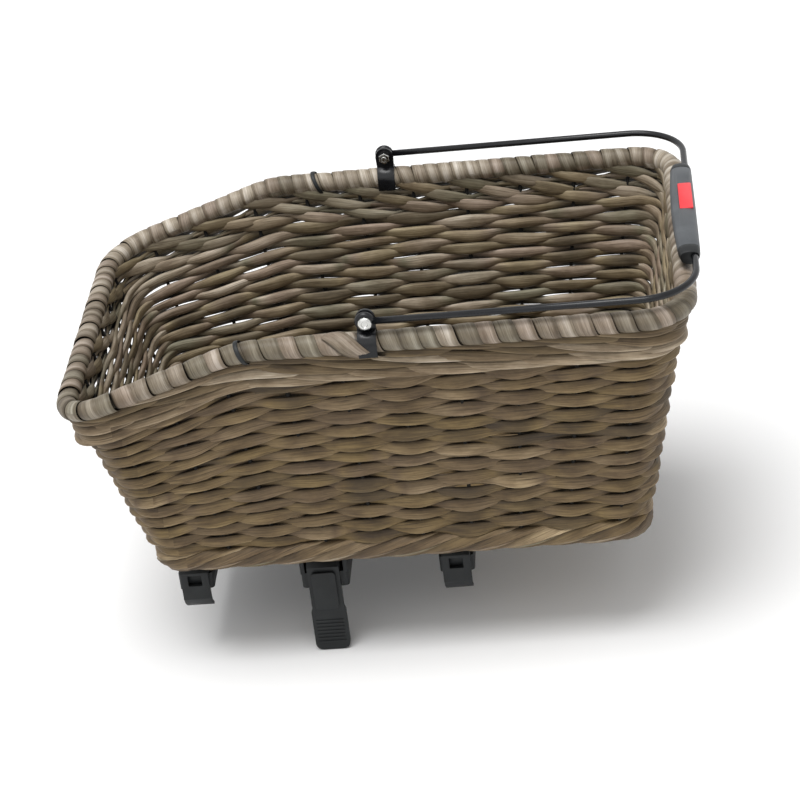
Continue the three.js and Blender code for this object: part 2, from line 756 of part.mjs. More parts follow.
// Route of the wire through the middles of its bends, with steps only in the bends.
class HandleRoute extends THREE.Curve {
  constructor() {
    super();
    const half = handleWidth / 2;
    const [cx, cy] = [handleReach - handleCornerRadius, half - handleCornerRadius];
    const bend = (sign, from) => Array.from({ length: 7 }, (_, k) => {
      const angle = from + k * Math.PI / 12;
      return new THREE.Vector3(cx + handleCornerRadius * Math.cos(angle),
        sign * cy + handleCornerRadius * Math.sin(angle), 0);
    });
    this.stations = [
      new THREE.Vector3(eyeRadius, -half, 0),
      ...bend(-1, -Math.PI / 2),
      ...bend(1, 0),
      new THREE.Vector3(eyeRadius, half, 0),
    ];
  }

  get steps() {
    return this.stations.length - 1;
  }

  getPointAt(share, target = new THREE.Vector3()) {
    const place = Math.min(share, 1) * this.steps;
    const k = Math.min(Math.floor(place), this.steps - 1);
    return target.lerpVectors(this.stations[k], this.stations[k + 1], place - k);
  }

  getPoint(share, target) {
    return this.getPointAt(share, target);
  }

  getTangentAt(share, target = new THREE.Vector3()) {
    const reach = 0.5 / this.steps;
    const before = this.getPointAt(Math.max(share - reach, 0));
    const after = this.getPointAt(Math.min(share + reach, 1));
    return target.subVectors(after, before).normalize();
  }
}

function handleWire() {
  const route = new HandleRoute();
  const section = new THREE.Shape();
  section.absarc(0, 0, handleWireRadius, 0, 2 * Math.PI);
  const tube = new THREE.ExtrudeGeometry(section, {
    steps: route.steps, extrudePath: route, bevelEnabled: false, curveSegments: 5,
  });
  const eye = (side) => new THREE.TorusGeometry(eyeRadius, handleWireRadius, 8, 14)
    .rotateX(Math.PI / 2).translate(0, side * handleWidth / 2, 0);
  return join(tube, eye(-1), eye(1));
}

// Outline of the grip's section at one place along it. The wire runs in its outer
// part, and the thicker inner part fits the fingers.
function gripSection(share, shrink = 0) {
  const swell = Math.cos(share * Math.PI / 2);
  const outer = gripEndOuterReach + (gripOuterReach - gripEndOuterReach) * swell - shrink;
  const inner = gripEndInnerReach + (gripInnerReach - gripEndInnerReach) * swell - shrink;
  const size = gripEndShare + (1 - gripEndShare) * swell;
  const middle = (outer - inner) / 2;
  const halfWidth = (outer + inner) / 2;
  const sides = 14;
  return Array.from({ length: sides }, (_, k) => {
    const angle = 2 * Math.PI * (k + 0.5) / sides;
    const [c, s] = [Math.cos(angle), Math.sin(angle)];
    const square = (value) => Math.sign(value) * Math.abs(value) ** 0.8;
    const height = s > 0 ? gripAbove * size - shrink : gripBelow * size - shrink;
    return [middle + halfWidth * square(c), height * square(s)];
  });
}

function gripLoft(from, to, stations, shrinkAt = () => 0) {
  const half = gripLength / 2;
  return skin(Array.from({ length: stations + 1 }, (_, k) => {
    const y = from + (to - from) * k / stations;
    return gripSection(y / half, shrinkAt(k / stations))
      .map(([x, z]) => [handleReach + x, gripCentreY + y, z]);
  }), false);
}

const wireBore = rodY([-handleWidth / 2, handleWidth / 2], handleReach, 0, handleWireRadius + seatGap, 14);
const gripBodyHalf = gripLength / 2 - gripCapLength;
const gripTop = gripAbove - inlayDepth;

function inlayBlock(margin, [z0, z1]) {
  const middleX = handleReach + (gripOuterReach - gripInnerReach) / 2 + inlayOffset;
  const [hx, hy] = [inlayWidth / 2 + margin, inlayLength / 2 + margin];
  return roundedPlate([middleX - hx, middleX + hx],
    [gripCentreY + inlayCentreY - hy, gripCentreY + inlayCentreY + hy], [z0, z1], inlayCornerRadius, 1);
}

function gripBody() {
  const pocket = inlayBlock(seatGap, [gripTop - seatGap, 2 * gripAbove]);
  return cut(gripLoft(-gripBodyHalf, gripBodyHalf, 8), wireBore, pocket);
}

function gripCap(side) {
  const inner = gripBodyHalf + seatGap;
  const cap = gripLoft(side * inner, side * gripLength / 2, 3, (share) => gripCapTaper * share ** 2);
  return cut(cap, wireBore);
}

place('handle_wire', handleWire(), paintedSteel, handle);
place('grip_body', gripBody(), greyGrip, handle);
place('near_grip_cap', gripCap(-1), blackNylon, handle);
place('far_grip_cap', gripCap(1), blackNylon, handle);
place('grip_inlay', inlayBlock(0, [gripTop, gripAbove + inlayProud]), redInlay, handle);

// Rack clamp.
const tubeY = tubeSpacing / 2;
const hookInnerY = tubeY + tubeRadius + hookLinerThickness + 2 * seatGap;
const hookOuterY = hookInnerY + hookWall;
const slideZ = plateThickness + seatGap;
const jawTop = slideZ + jawThickness;
const armEndY = tubeY + tubeRadius;
const floorUnderside = basketLift + floorMiddle - floorHalfThickness - floorRelief;
const pedestalTop = floorUnderside - seatGap;
const innerPlateZ = basketLift + floorMiddle + floorHalfThickness + floorRelief + seatGap;

function mirrored(pair) {
  return [[-pair[1], -pair[0]], pair];
}

function clampBase() {
  const half = plateWidth / 2;
  const end = hookX + armWidth / 2;
  const armStart = end - armWidth;
  const cheekX = leverHubHalfWidth + seatGap;
  const leverArm = cheekX + cheekThickness;
  const plateShape = roundedPolygon([
    [-end, -armEndY], [-armStart, -armEndY], [-armStart, -half],
    [-leverArm, -half], [-leverArm, -cheekOuter], [leverArm, -cheekOuter], [leverArm, -half],
    [armStart, -half], [armStart, -armEndY], [end, -armEndY],
    [end, armEndY], [armStart, armEndY], [armStart, half],
    [-armStart, half], [-armStart, armEndY], [-end, armEndY],
  ], plateCornerRadius);
  const plate = new THREE.ExtrudeGeometry(plateShape,
    { depth: plateThickness, bevelEnabled: false, curveSegments: 3 });
  const low = plateThickness - rootDepth;
  const cheekShape = new THREE.Shape();
  cheekShape.moveTo(-cheekInner, low);
  cheekShape.lineTo(-cheekInner, leverPivotZ);
  cheekShape.absarc(-(cheekInner + cheekOuter) / 2, leverPivotZ, (cheekOuter - cheekInner) / 2, 0, Math.PI);
  cheekShape.lineTo(-cheekOuter, low);
  const cheeks = mirrored([cheekX, cheekX + cheekThickness]).map((range) => alongX(cheekShape, range, 4));

  // The pedestal is a lid on cross ribs, and lifts the basket's floor clear of the jaws.
  const px = pedestalLength / 2;
  const py = pedestalWidth / 2;
  const high = pedestalTop - rootDepth;
  const lid = roundedPlate([-px, px], [-py, py], [pedestalTop - pedestalLid, pedestalTop],
    pedestalCornerRadius);
  const endRib = px - pedestalEndInset;
  const ribReach = py - pedestalRibInset;
  const ribs = Array.from({ length: pedestalRibs }, (_, k) => {
    const x = endRib * (2 * k / (pedestalRibs - 1) - 1);
    const range = [x - pedestalRibThickness / 2, x + pedestalRibThickness / 2];
    return block(range, [-ribReach, ribReach], [low, high]);
  });
  const bosses = clampScrewPlaces.map(([x, y]) => rodZ([low, high], x, y, bossRadius, 12));

  // Keepers hold the tongues of the sliding jaw down on the plate.
  const keepers = [-hookX, hookX].map((x) => {
    const reach = tongueWidth / 2 + seatGap;
    const frame = block([x - reach - keeperWall, x + reach + keeperWall], [-keeperOuter, -keeperInner],
      [low, jawTop + seatGap + keeperWall]);
    const tunnel = block([x - reach, x + reach], [-keeperOuter - rootDepth, -keeperInner + rootDepth],
      [plateThickness, jawTop + seatGap]);
    return cut(frame, tunnel);
  });

  const whole = join(plate, ...cheeks, lid, ...ribs, ...bosses, ...keepers);
  const pin = rodX([-throughReach, throughReach], leverPivotY, leverPivotZ, leverPinRadius + seatGap);
  const screwHoles = clampScrewPlaces.map(([x, y]) =>
    rodZ([innerPlateZ - screwDepth - screwHoleTail, throughReach], x, y, screwRadius + boltGap, 10));
  const jawHoles = [-jawScrewX, jawScrewX].map((x) =>
    rodZ([jawScrewEnd - seatGap, throughReach], x, jawScrewY, jawScrewRadius + boltGap, 10));
  const pockets = padPlaces.map(([x, y]) => padBlock(x, y, seatGap, padThickness + seatGap, -1));
  return cut(whole, pin, ...screwHoles, ...jawHoles, ...pockets);
}

// Rubber pads let into the underside, one over each place where a tube passes an arm.
const padPlaces = [-hookX, hookX].flatMap((x) => [[x, -tubeY], [x, tubeY]]);

function padBlock(x, y, margin, top, bottom = 0) {
  const [hx, hy] = [padLength / 2 + margin, padWidth / 2 + margin];
  return roundedPlate([x - hx, x + hx], [y - hy, y + hy], [bottom, top], padCornerRadius, 1);
}

// One hook in section: over the arm's end, down outside the tube and in under it.
function hookSection() {
  const lipInner = hookInnerY - hookLip;
  const lipZ = -2 * tubeRadius - hookLinerThickness;
  return polygon([
    [jawBeamOuter - hookRoot, slideZ],
    [hookInnerY, slideZ],
    [hookInnerY, -hookDrop],
    [hookInnerY - hookHeelReach, -hookDrop - hookHeelDrop],
    [lipInner, lipZ],
    [lipInner, lipZ - hookLipThickness],
    [hookOuterY - hookToeReach, -hookDrop - hookToeDrop],
    [hookOuterY, -hookDrop],
    [hookOuterY, jawTop - hookShoulder],
    [hookOuterY - hookShoulder, jawTop],
    [jawBeamOuter - hookRoot, jawTop],
  ]);
}

function hookAt(x) {
  const hook = alongX(hookSection(), [x - hookWidth / 2, x + hookWidth / 2]);
  const window = block([x - hookWindowWidth / 2, x + hookWindowWidth / 2],
    [hookInnerY - rootDepth, hookOuterY + rootDepth], [hookWindowTop - hookWindowHeight, hookWindowTop]);
  return cut(hook, window);
}

function jawBeam(inner) {
  const end = hookX + hookWidth / 2;
  return roundedPlate([-end, end], [inner, jawBeamOuter], [slideZ, jawTop], jawBeamCornerRadius);
}

// The fixed jaw is drawn on +Y. Slots let it be set to the rack's width.
function farJaw() {
  const body = join(jawBeam(farBeamInner), hookAt(-hookX), hookAt(hookX));
  const slots = [-jawScrewX, jawScrewX].map((x) => {
    const shape = new THREE.Shape();
    const radius = jawScrewRadius + boltGap;
    const [y0, y1] = [jawScrewY, jawScrewY + jawSlotLength];
    shape.absarc(x, y0, radius, Math.PI, 2 * Math.PI);
    shape.absarc(x, y1, radius, 0, Math.PI);
    return new THREE.ExtrudeGeometry(shape, { depth: throughReach, bevelEnabled: false, curveSegments: 3 });
  });
  return cut(body, ...slots);
}

const pegAngle = THREE.MathUtils.degToRad(leverPegAngle);
const pegY = leverPivotY + leverPegReach * Math.sin(pegAngle);
const pegZ = leverPivotZ - leverPegReach * Math.cos(pegAngle);

// The sliding jaw is drawn on +Y and turned round to -Y with its fork and tongues.
function nearJaw() {
  const hooks = join(jawBeam(nearBeamInner), hookAt(-hookX), hookAt(hookX));
  hooks.rotateZ(Math.PI);
  const tongues = [-hookX, hookX].map((x) =>
    block([x - tongueWidth / 2, x + tongueWidth / 2], [-nearBeamInner - rootDepth, -tongueReach],
      [slideZ, jawTop]));
  const slot = leverPegRadius + pegPlay;
  const forkOuter = pegY - slot - forkWall;
  const forkInner = pegY + slot + forkWall;
  const arm = block([-forkHalfWidth, forkHalfWidth], [forkOuter, -jawBeamOuter + rootDepth],
    [slideZ, slideZ + forkFloor]);
  const fork = block([-forkHalfWidth, forkHalfWidth], [forkOuter, forkInner],
    [slideZ, pegZ + forkAbovePeg]);
  const gap = block([-throughReach, throughReach], [pegY - slot, pegY + slot],
    [slideZ + forkFloor, throughReach]);
  return cut(join(hooks, ...tongues, arm, fork), gap);
}

// Rubber liner inside a hook, between it and the tube.
function hookLiner(x, side) {
  const inner = hookInnerY - seatGap - hookLinerThickness;
  const half = hookWidth / 2 - hookLinerMargin;
  return block([x - half, x + half], span(side, inner, inner + hookLinerThickness),
    [-hookDrop + seatGap, hookLinerTop]);
}

function leverPart() {
  const inner = leverPivotY - leverFaceOffset;
  const outer = inner - leverThickness;
  const lowHalf = leverWidth / 2;
  const upHalf = leverUpperWidth / 2;
  const r = leverCornerRadius;
  const tabShape = new THREE.Shape();
  tabShape.moveTo(-upHalf, leverTop);
  tabShape.lineTo(-upHalf, leverStep);
  tabShape.lineTo(-lowHalf, leverStep - leverFlare);
  tabShape.absarc(-lowHalf + r, leverBottom + r, r, Math.PI, 1.5 * Math.PI);
  tabShape.absarc(lowHalf - r, leverBottom + r, r, 1.5 * Math.PI, 2 * Math.PI);
  tabShape.lineTo(lowHalf, leverStep - leverFlare);
  tabShape.lineTo(upHalf, leverStep);
  tabShape.lineTo(upHalf, leverTop);
  const plate = alongY(tabShape, [outer, inner], 2);
  const hub = rodX([-leverHubHalfWidth, leverHubHalfWidth], leverPivotY, leverPivotZ, leverHubRadius, 16);
  const neck = alongX(polygon([
    [leverPivotY + leverNeckFront, leverPivotZ + leverNeckHead],
    [leverPivotY - leverNeckRear, leverPivotZ + leverNeckHead],
    [outer, leverTop],
    [outer, leverNeckFoot],
    [inner + rootDepth, leverNeckFoot],
    [leverPivotY, leverPivotZ - leverNeckHead],
  ]), [-upHalf, upHalf]);
  const webs = mirrored([leverWebInner, leverWebOuter]).map((range) => alongX(polygon([
    [leverPivotY - leverWebRear, leverPivotZ],
    [pegY - leverWebTip, pegZ],
    [pegY + leverWebTip, pegZ],
    [leverPivotY + leverWebFront, leverPivotZ],
  ]), range));
  const peg = rodX([-leverWebOuter, leverWebOuter], pegY, pegZ, leverPegRadius, 10);
  const pitch = (leverStep - leverRibEnd - leverBottom - leverRibStart) / leverRibs;
  const ribs = Array.from({ length: leverRibs }, (_, k) => {
    const z = leverBottom + leverRibStart + k * pitch;
    return block([-lowHalf + leverRibInset, lowHalf - leverRibInset],
      [outer - leverRibHeight, outer + rootDepth], [z, z + pitch * leverRibShare]);
  });
  const whole = join(plate, hub, neck, ...webs, peg, ...ribs);
  const pin = rodX([-throughReach, throughReach], leverPivotY, leverPivotZ, leverPinRadius + seatGap);
  const coilRadius = springCoilRadius + springWireRadius + springPlay;
  const springRoom = block([-springHalfWidth - springPlay, springHalfWidth + springPlay],
    [leverPivotY - coilRadius, leverPivotY + springRoomReach],
    [leverPivotZ - coilRadius - springRoomDrop, leverPivotZ + springRoomReach]);
  return cut(whole, pin, springRoom);
}

const springCoilRadius = leverPinRadius + seatGap + springWireRadius + springPlay;

// Raised panel fixed to the upper part of the lever.
function leverPanel() {
  const face = leverPivotY - leverFaceOffset - leverThickness - seatGap;
  const half = leverPanelWidth / 2;
  const shape = new THREE.Shape();
  const r = leverPanelCornerRadius;
  const [low, high] = [leverStep + leverPanelFoot, leverTop - leverPanelHead];
  shape.absarc(half - r, low + r, r, -Math.PI / 2, 0);
  shape.absarc(half - r, high - r, r, 0, Math.PI / 2);
  shape.absarc(-half + r, high - r, r, Math.PI / 2, Math.PI);
  shape.absarc(-half + r, low + r, r, Math.PI, 1.5 * Math.PI);
  return alongY(shape, [face - leverPanelThickness, face], 2);
}

// Torsion spring round the lever's pin, one unbroken tube.
function leverSpring() {
  const stepsPerCoil = 8;
  const sides = 5;
  const total = springCoils * stepsPerCoil;
  const run = 2 * (springHalfWidth - springWireRadius);
  const rings = Array.from({ length: total + 1 }, (_, k) => {
    const angle = Math.PI / 2 + 2 * Math.PI * k / stepsPerCoil;
    const middle = -run / 2 + run * k / total;
    return Array.from({ length: sides }, (_, side) => {
      const turn = 2 * Math.PI * side / sides;
      const radius = springCoilRadius + springWireRadius * Math.cos(turn);
      return [
        middle + springWireRadius * Math.sin(turn),
        leverPivotY + radius * Math.cos(angle),
        leverPivotZ + radius * Math.sin(angle),
      ];
    });
  });
  return skin(rings, false);
}

function clampScrew(x, y) {
  const under = innerPlateZ + innerPlateThickness + seatGap;
  const profile = [
    [0, under - screwDepth], [screwRadius, under - screwDepth], [screwRadius, under],
    [screwHeadRadius, under], [screwHeadRadius - 0.5, under + screwHeadHeight * 0.6],
    [screwHeadRadius - screwHeadCrown, under + screwHeadHeight],
    [screwSocketRadius, under + screwHeadHeight],
    [screwSocketRadius, under + screwSocketFloor], [0, under + screwSocketFloor],
  ].map(([radius, z]) => new THREE.Vector2(radius, z));
  return new THREE.LatheGeometry(profile, 12).rotateX(Math.PI / 2).translate(x, y, 0);
}

function innerPlate() {
  const [hx, hy] = [screwX + innerPlateMargin, screwY + innerPlateMargin];
  const plate = roundedPlate([-hx, hx], [-hy, hy], [innerPlateZ, innerPlateZ + innerPlateThickness],
    innerPlateCornerRadius);
  const [wx, wy] = [hx - innerWindowInsetX, hy - innerWindowInsetY];
  const window = roundedPlate([-wx, wx], [-wy, wy], [0, 2 * throughReach], innerWindowRadius);
  const holes = clampScrewPlaces.map(([x, y]) =>
    rodZ([0, 2 * throughReach], x, y, screwRadius + seatGap, 12));
  return cut(plate, window, ...holes);
}

function jawScrew(x) {
  const under = jawTop + seatGap;
  const crown = under + jawScrewHeadHeight;
  const profile = [
    [0, jawScrewEnd], [jawScrewRadius, jawScrewEnd], [jawScrewRadius, under], [jawScrewHeadRadius, under],
    [jawScrewHeadRadius, crown - jawScrewHeadEdge], [jawScrewHeadRadius - jawScrewHeadEdge, crown],
    [0, crown],
  ].map(([radius, z]) => new THREE.Vector2(radius, z));
  return new THREE.LatheGeometry(profile, 12).rotateX(Math.PI / 2).translate(x, jawScrewY, 0);
}

place('clamp_base', clampBase(), blackNylon);
place('inner_plate', innerPlate(), blackNylon);
clampScrewPlaces.forEach(([x, y], k) => place(`clamp_screw_${k + 1}`, clampScrew(x, y), zincSteel));
padPlaces.forEach(([x, y], k) => place(`rack_pad_${k + 1}`, padBlock(x, y, 0, padThickness), blackRubber));
place('far_jaw', farJaw(), blackNylon);
place('far_jaw_screw_1', jawScrew(-jawScrewX), zincSteel);
place('far_jaw_screw_2', jawScrew(jawScrewX), zincSteel);
place('near_jaw', nearJaw(), blackNylon);
for (const [side, label] of [[-1, 'near'], [1, 'far']]) {
  place(`${label}_front_hook_liner`, hookLiner(-hookX, side), blackRubber);
  place(`${label}_rear_hook_liner`, hookLiner(hookX, side), blackRubber);
}
place('release_lever', leverPart(), blackNylon);
place('lever_panel', leverPanel(), blackNylon);
place('lever_pin', rodX([-leverHubHalfWidth - cheekThickness, leverHubHalfWidth + cheekThickness],
  leverPivotY, leverPivotZ, leverPinRadius), zincSteel);
place('lever_spring', leverSpring(), springSteel);

export default root;
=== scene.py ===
"""Woven bicycle basket: the looks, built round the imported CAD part.

Sizes are in millimetres and become metres when a mesh is finished. +Z is up, +X the rear,
-Y the near side with the release lever.
"""

import math
import random

import bmesh
import bpy
from mathutils import Matrix, Vector


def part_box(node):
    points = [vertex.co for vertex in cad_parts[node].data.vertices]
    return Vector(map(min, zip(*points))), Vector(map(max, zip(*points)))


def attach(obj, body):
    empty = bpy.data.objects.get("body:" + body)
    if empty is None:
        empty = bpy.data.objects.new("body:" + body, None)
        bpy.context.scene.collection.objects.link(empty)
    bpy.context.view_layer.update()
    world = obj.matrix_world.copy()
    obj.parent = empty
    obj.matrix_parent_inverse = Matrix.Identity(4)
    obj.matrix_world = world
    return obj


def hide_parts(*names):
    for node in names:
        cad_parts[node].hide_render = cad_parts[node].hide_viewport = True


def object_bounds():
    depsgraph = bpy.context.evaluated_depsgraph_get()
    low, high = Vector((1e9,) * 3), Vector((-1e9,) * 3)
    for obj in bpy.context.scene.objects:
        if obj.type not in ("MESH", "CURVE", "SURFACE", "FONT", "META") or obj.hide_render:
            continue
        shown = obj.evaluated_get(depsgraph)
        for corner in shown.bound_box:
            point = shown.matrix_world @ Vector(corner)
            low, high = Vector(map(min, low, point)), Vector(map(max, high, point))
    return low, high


MM = 0.001
UP = Vector((0, 0, 1))
# Where each woven piece's random draws start.
SEED = {"wall": 1000, "wale": 2000, "foot": 3000, "rim": 4000, "lap": 4100, "floor": 5000}

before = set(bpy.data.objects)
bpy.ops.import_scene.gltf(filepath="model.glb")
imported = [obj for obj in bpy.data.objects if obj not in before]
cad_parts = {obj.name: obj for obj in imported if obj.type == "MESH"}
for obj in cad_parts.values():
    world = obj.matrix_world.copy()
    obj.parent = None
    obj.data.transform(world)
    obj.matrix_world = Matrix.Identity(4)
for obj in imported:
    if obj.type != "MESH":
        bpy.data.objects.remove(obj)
cad_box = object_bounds()


def box_mm(node):
    """Lowest and highest corner of a CAD node, in millimetres."""
    low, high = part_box(node)
    return Vector(low) / MM, Vector(high) / MM


# Outlines of the basket in plan.


class Oblong:
    """A rounded oblong in plan, walked from the near side's front end towards the rear."""

    def __init__(self, front, rear, half, radius):
        self.front, self.rear, self.half, self.radius = front, rear, half, radius

    def inset(self, distance):
        return Oblong(self.front + distance, self.rear - distance, self.half - distance,
                      max(self.radius - distance, 1))

    @property
    def lengths(self):
        side = self.rear - self.front - 2 * self.radius
        end = 2 * (self.half - self.radius)
        corner = self.radius * math.pi / 2
        return [side, corner, end, corner, side, corner, end, corner]

    @property
    def perimeter(self):
        return sum(self.lengths)

    def on(self, stretch, share):
        """Point and outward direction at a share of one side or corner."""
        f, r, h = self.front + self.radius, self.rear - self.radius, self.half - self.radius
        if stretch % 2:
            cx, cy, start = [(r, -h, -90), (r, h, 0), (f, h, 90), (f, -h, 180)][stretch // 2]
            angle = math.radians(start + 90 * share)
            out = Vector((math.cos(angle), math.sin(angle), 0))
            return Vector((cx, cy, 0)) + self.radius * out, out
        ends = [((f, -self.half), (r, -self.half), (0, -1)), ((self.rear, -h), (self.rear, h), (1, 0)),
                ((r, self.half), (f, self.half), (0, 1)), ((self.front, h), (self.front, -h), (-1, 0))]
        start, end, out = ends[stretch // 2]
        return Vector((*start, 0)).lerp(Vector((*end, 0)), share), Vector((*out, 0))

    def at(self, distance):
        """Point and outward direction at a distance along the whole outline."""
        left = distance % self.perimeter
        for stretch, length in enumerate(self.lengths):
            if left <= length:
                return self.on(stretch, left / length)
            left -= length
        return self.on(0, 0)


RIM_RADIUS = 7.5
RIM_CORNER = 30
FOOT_CORNER = 24
FOOT_RELIEF = 1.3
DIP_LENGTH = 121
DIP_BLEND = 16
WALL_INSET_LOW = 5.5
WALL_INSET_HIGH = 2.5

wrap_low, wrap_high = box_mm("rim_wrap")
rim = Oblong(wrap_low.x + RIM_RADIUS, wrap_high.x - RIM_RADIUS, wrap_high.y - RIM_RADIUS, RIM_CORNER)
foot_low, foot_high = box_mm("foot_border")
foot = Oblong(foot_low.x + FOOT_RELIEF, foot_high.x - FOOT_RELIEF, foot_high.y - FOOT_RELIEF, FOOT_CORNER)
UNDERSIDE = foot_low.z
FOOT_TOP = foot_high.z
RIM_LEVEL = wrap_high.z - RIM_RADIUS
RIM_FRONT = wrap_low.z + RIM_RADIUS


def rim_height(x):
    """Height of the rim's middle: level, then down to the front after a soft bend."""
    slope = (RIM_LEVEL - RIM_FRONT) / DIP_LENGTH
    ahead = rim.front + DIP_LENGTH - x
    if ahead <= -DIP_BLEND:
        return RIM_LEVEL
    if ahead >= DIP_BLEND:
        return RIM_LEVEL - slope * ahead
    return RIM_LEVEL - slope * (ahead + DIP_BLEND) ** 2 / (4 * DIP_BLEND)


# Upright stakes, counted round the basket: so many spaces to each side and corner.
STAKE_SPACES = [9, 1, 5, 1, 9, 1, 5, 1]
STAKES = sum(STAKE_SPACES)
wall_low = foot.inset(WALL_INSET_LOW)
wall_high = rim.inset(WALL_INSET_HIGH)


def wall_at(stake, height):
    """Point in the middle of the wall, and its outward direction, at a place counted in
    stakes and a height from 0 at the foot border's top to 1 at the rim's underside."""
    left = stake % STAKES
    for stretch, spaces in enumerate(STAKE_SPACES):
        if left <= spaces:
            share = left / spaces
            break
        left -= spaces
    low, out = wall_low.on(stretch, share)
    high, _ = wall_high.on(stretch, share)
    rim_z = rim_height(high.x)
    z = FOOT_TOP + (rim_z - RIM_RADIUS - FOOT_TOP) * height
    lean = (z - UNDERSIDE) / (rim_z - UNDERSIDE)
    return low.lerp(high, lean) + UP * z, out


# Making meshes.

NEUTRAL_TONE = (0.5, 0.5, 0.5, 1)


def place_piece(bm, name, material, body):
    """Turns a mesh into a smooth-shaded piece that rides on a CAD body."""
    mesh = bpy.data.meshes.new(name)
    bm.to_mesh(mesh)
    bm.free()
    mesh.materials.append(material)
    mesh.polygons.foreach_set("use_smooth", [True] * len(mesh.polygons))
    piece = bpy.data.objects.new(name, mesh)
    bpy.context.scene.collection.objects.link(piece)
    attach(piece, body)
    return piece


def finish_mesh(bm, name, material, body="basket"):
    """The same for a mesh drawn in millimetres."""
    bmesh.ops.scale(bm, vec=Vector((MM, MM, MM)), verts=bm.verts)
    return place_piece(bm, name, material, body)


def sweep(rings, closed, tones=None):
    """A strand drawn out through rings of points, with a tone for each ring. Its UV map counts
    metres along it, and from 0 to 1 round its section."""
    bm = bmesh.new()
    uv = bm.loops.layers.uv.new("strand")
    tone = bm.loops.layers.float_color.new("tone")
    around = len(rings[0])
    tones = tones or [NEUTRAL_TONE] * len(rings)

    def edges_of(row):
        return [bm.edges.get((row[k], row[(k + 1) % around])) for k in range(around)]

    rows = [[bm.verts.new(point) for point in rings[0]]]
    edges = [bm.edges.new((rows[0][k], rows[0][(k + 1) % around])) for k in range(around)]
    for ring in rings[1:]:
        made = bmesh.ops.extrude_edge_only(bm, edges=edges)["geom"]
        new_verts = {item for item in made if isinstance(item, bmesh.types.BMVert)}
        row = [next(edge.other_vert(vert) for edge in vert.link_edges if edge.other_vert(vert) in new_verts)
               for vert in rows[-1]]
        for vert, point in zip(row, ring):
            vert.co = point
        rows.append(row)
        edges = edges_of(row)
    if closed:
        bmesh.ops.bridge_loops(bm, edges=edges_of(rows[-1]) + edges_of(rows[0]))
    place = {vert: (i, k) for i, row in enumerate(rows) for k, vert in enumerate(row)}
    along = [0.0]
    for ring, following in zip(rings, rings[1:]):
        along.append(along[-1] + (following[0] - ring[0]).length)
    total = along[-1] + (rings[0][0] - rings[-1][0]).length
    for face in bm.faces:
        corners = [place[loop.vert] for loop in face.loops]
        ring_wraps = closed and {0, len(rows) - 1} <= {i for i, _ in corners}
        side_wraps = {0, around - 1} <= {k for _, k in corners}
        for loop, (i, k) in zip(face.loops, corners):
            u = total if ring_wraps and i == 0 else along[i]
            v = around if side_wraps and k == 0 else k
            loop[uv].uv = (u * MM, v / around)
            loop[tone] = tones[i]
    if not closed:
        for row in (rows[0], rows[-1]):
            cap = bmesh.ops.contextual_create(bm, geom=edges_of(row))["faces"][0]
            for loop in cap.loops:
                loop[tone] = tones[0]
    bmesh.ops.recalc_face_normals(bm, faces=bm.faces)
    return bm


def gather(parts):
    """One mesh holding all the strands."""
    whole = bmesh.new()
    for part in parts:
        mesh = bpy.data.meshes.new("strand")
        part.to_mesh(mesh)
        part.free()
        whole.from_mesh(mesh)
        bpy.data.meshes.remove(mesh)
    return whole


def blunt(value, power):
    """A power that keeps the sign. Below 1 it makes a sine's wave squarer."""
    return math.copysign(abs(value) ** power, value)


LIP_BLUNTNESS = 0.75
FACE_BLUNTNESS = 0.8


def flat_section(half_width, half_thickness, points, inner=1):
    """Points of a flat strand's section: across its width, and through its thickness. inner
    makes the side that faces into the basket so much rounder."""
    section = []
    for k in range(points):
        angle = 2 * math.pi * (k + 0.5) / points
        across = half_width * blunt(math.cos(angle), LIP_BLUNTNESS)
        through = half_thickness * blunt(math.sin(angle), FACE_BLUNTNESS)
        section.append((across, through if through > 0 else through * inner))
    return section


def circle(middle, first, second, radius, points):
    """Points of a circle round a middle, in the plane of two directions."""
    turns = [2 * math.pi * k / points for k in range(points)]
    return [middle + first * radius * math.cos(turn) + second * radius * math.sin(turn) for turn in turns]


def wave(values, place):
    """A smooth value at a place between the whole numbers, where the given values hold."""
    k = math.floor(place)
    t = place - k
    t = t * t * (3 - 2 * t)
    return values[k % len(values)] * (1 - t) + values[(k + 1) % len(values)] * t


# Materials.


def linear(hex_colour):
    """sRGB hex to linear RGBA."""
    parts = [int(hex_colour[i:i + 2], 16) / 255 for i in (1, 3, 5)]
    return (*(c / 12.92 if c <= 0.04045 else ((c + 0.055) / 1.055) ** 2.4 for c in parts), 1)


def add(tree, kind, settings=(), **links):
    """Adds a node. settings are its properties, socket values or a ramp's stops, links its sources."""
    node = tree.nodes.new(kind)
    for key, value in dict(settings).items():
        if key == "stops":
            elements = node.color_ramp.elements
            elements[1].position = value[-1][0]
            elements[0].position = value[0][0]
            elements[0].color, elements[1].color = linear(value[0][1]), linear(value[-1][1])
            for position, colour in value[1:-1]:
                elements.new(position).color = linear(colour)
        elif hasattr(node, key):
            setattr(node, key, value)
        else:
            node.inputs[key].default_value = value
    for key, source in links.items():
        socket = node.inputs[int(key[1:])] if key[1:].isdigit() else node.inputs[key.replace("_", " ")]
        tree.links.new(source, socket)
    return node


def new_material(name):
    material = bpy.data.materials.new(name)
    material.use_nodes = True
    tree = material.node_tree
    shader = next(node for node in tree.nodes if node.type == "BSDF_PRINCIPLED")
    return material, tree, shader


STRAND_GIRTH = 21               # once round a strand's section, which its UV map counts as 1
# Marks in a strand: the length and width of one in millimetres, and how broken its edge is.
STRAND_MARKS = {"fibres": (29.4, 0.7, 5), "cracks": (50, 0.456, 2), "stains": (31.25, 8.75, 4)}
FIBRE_HEIGHT = 0.6
# How far, in millimetres, the painted crevice shade looks for strands close by.
PAINTED_SHADE_REACH = 8
MARK_SHIFT = 70                 # a strand's tone moves its marks by up to so many, so no two are alike
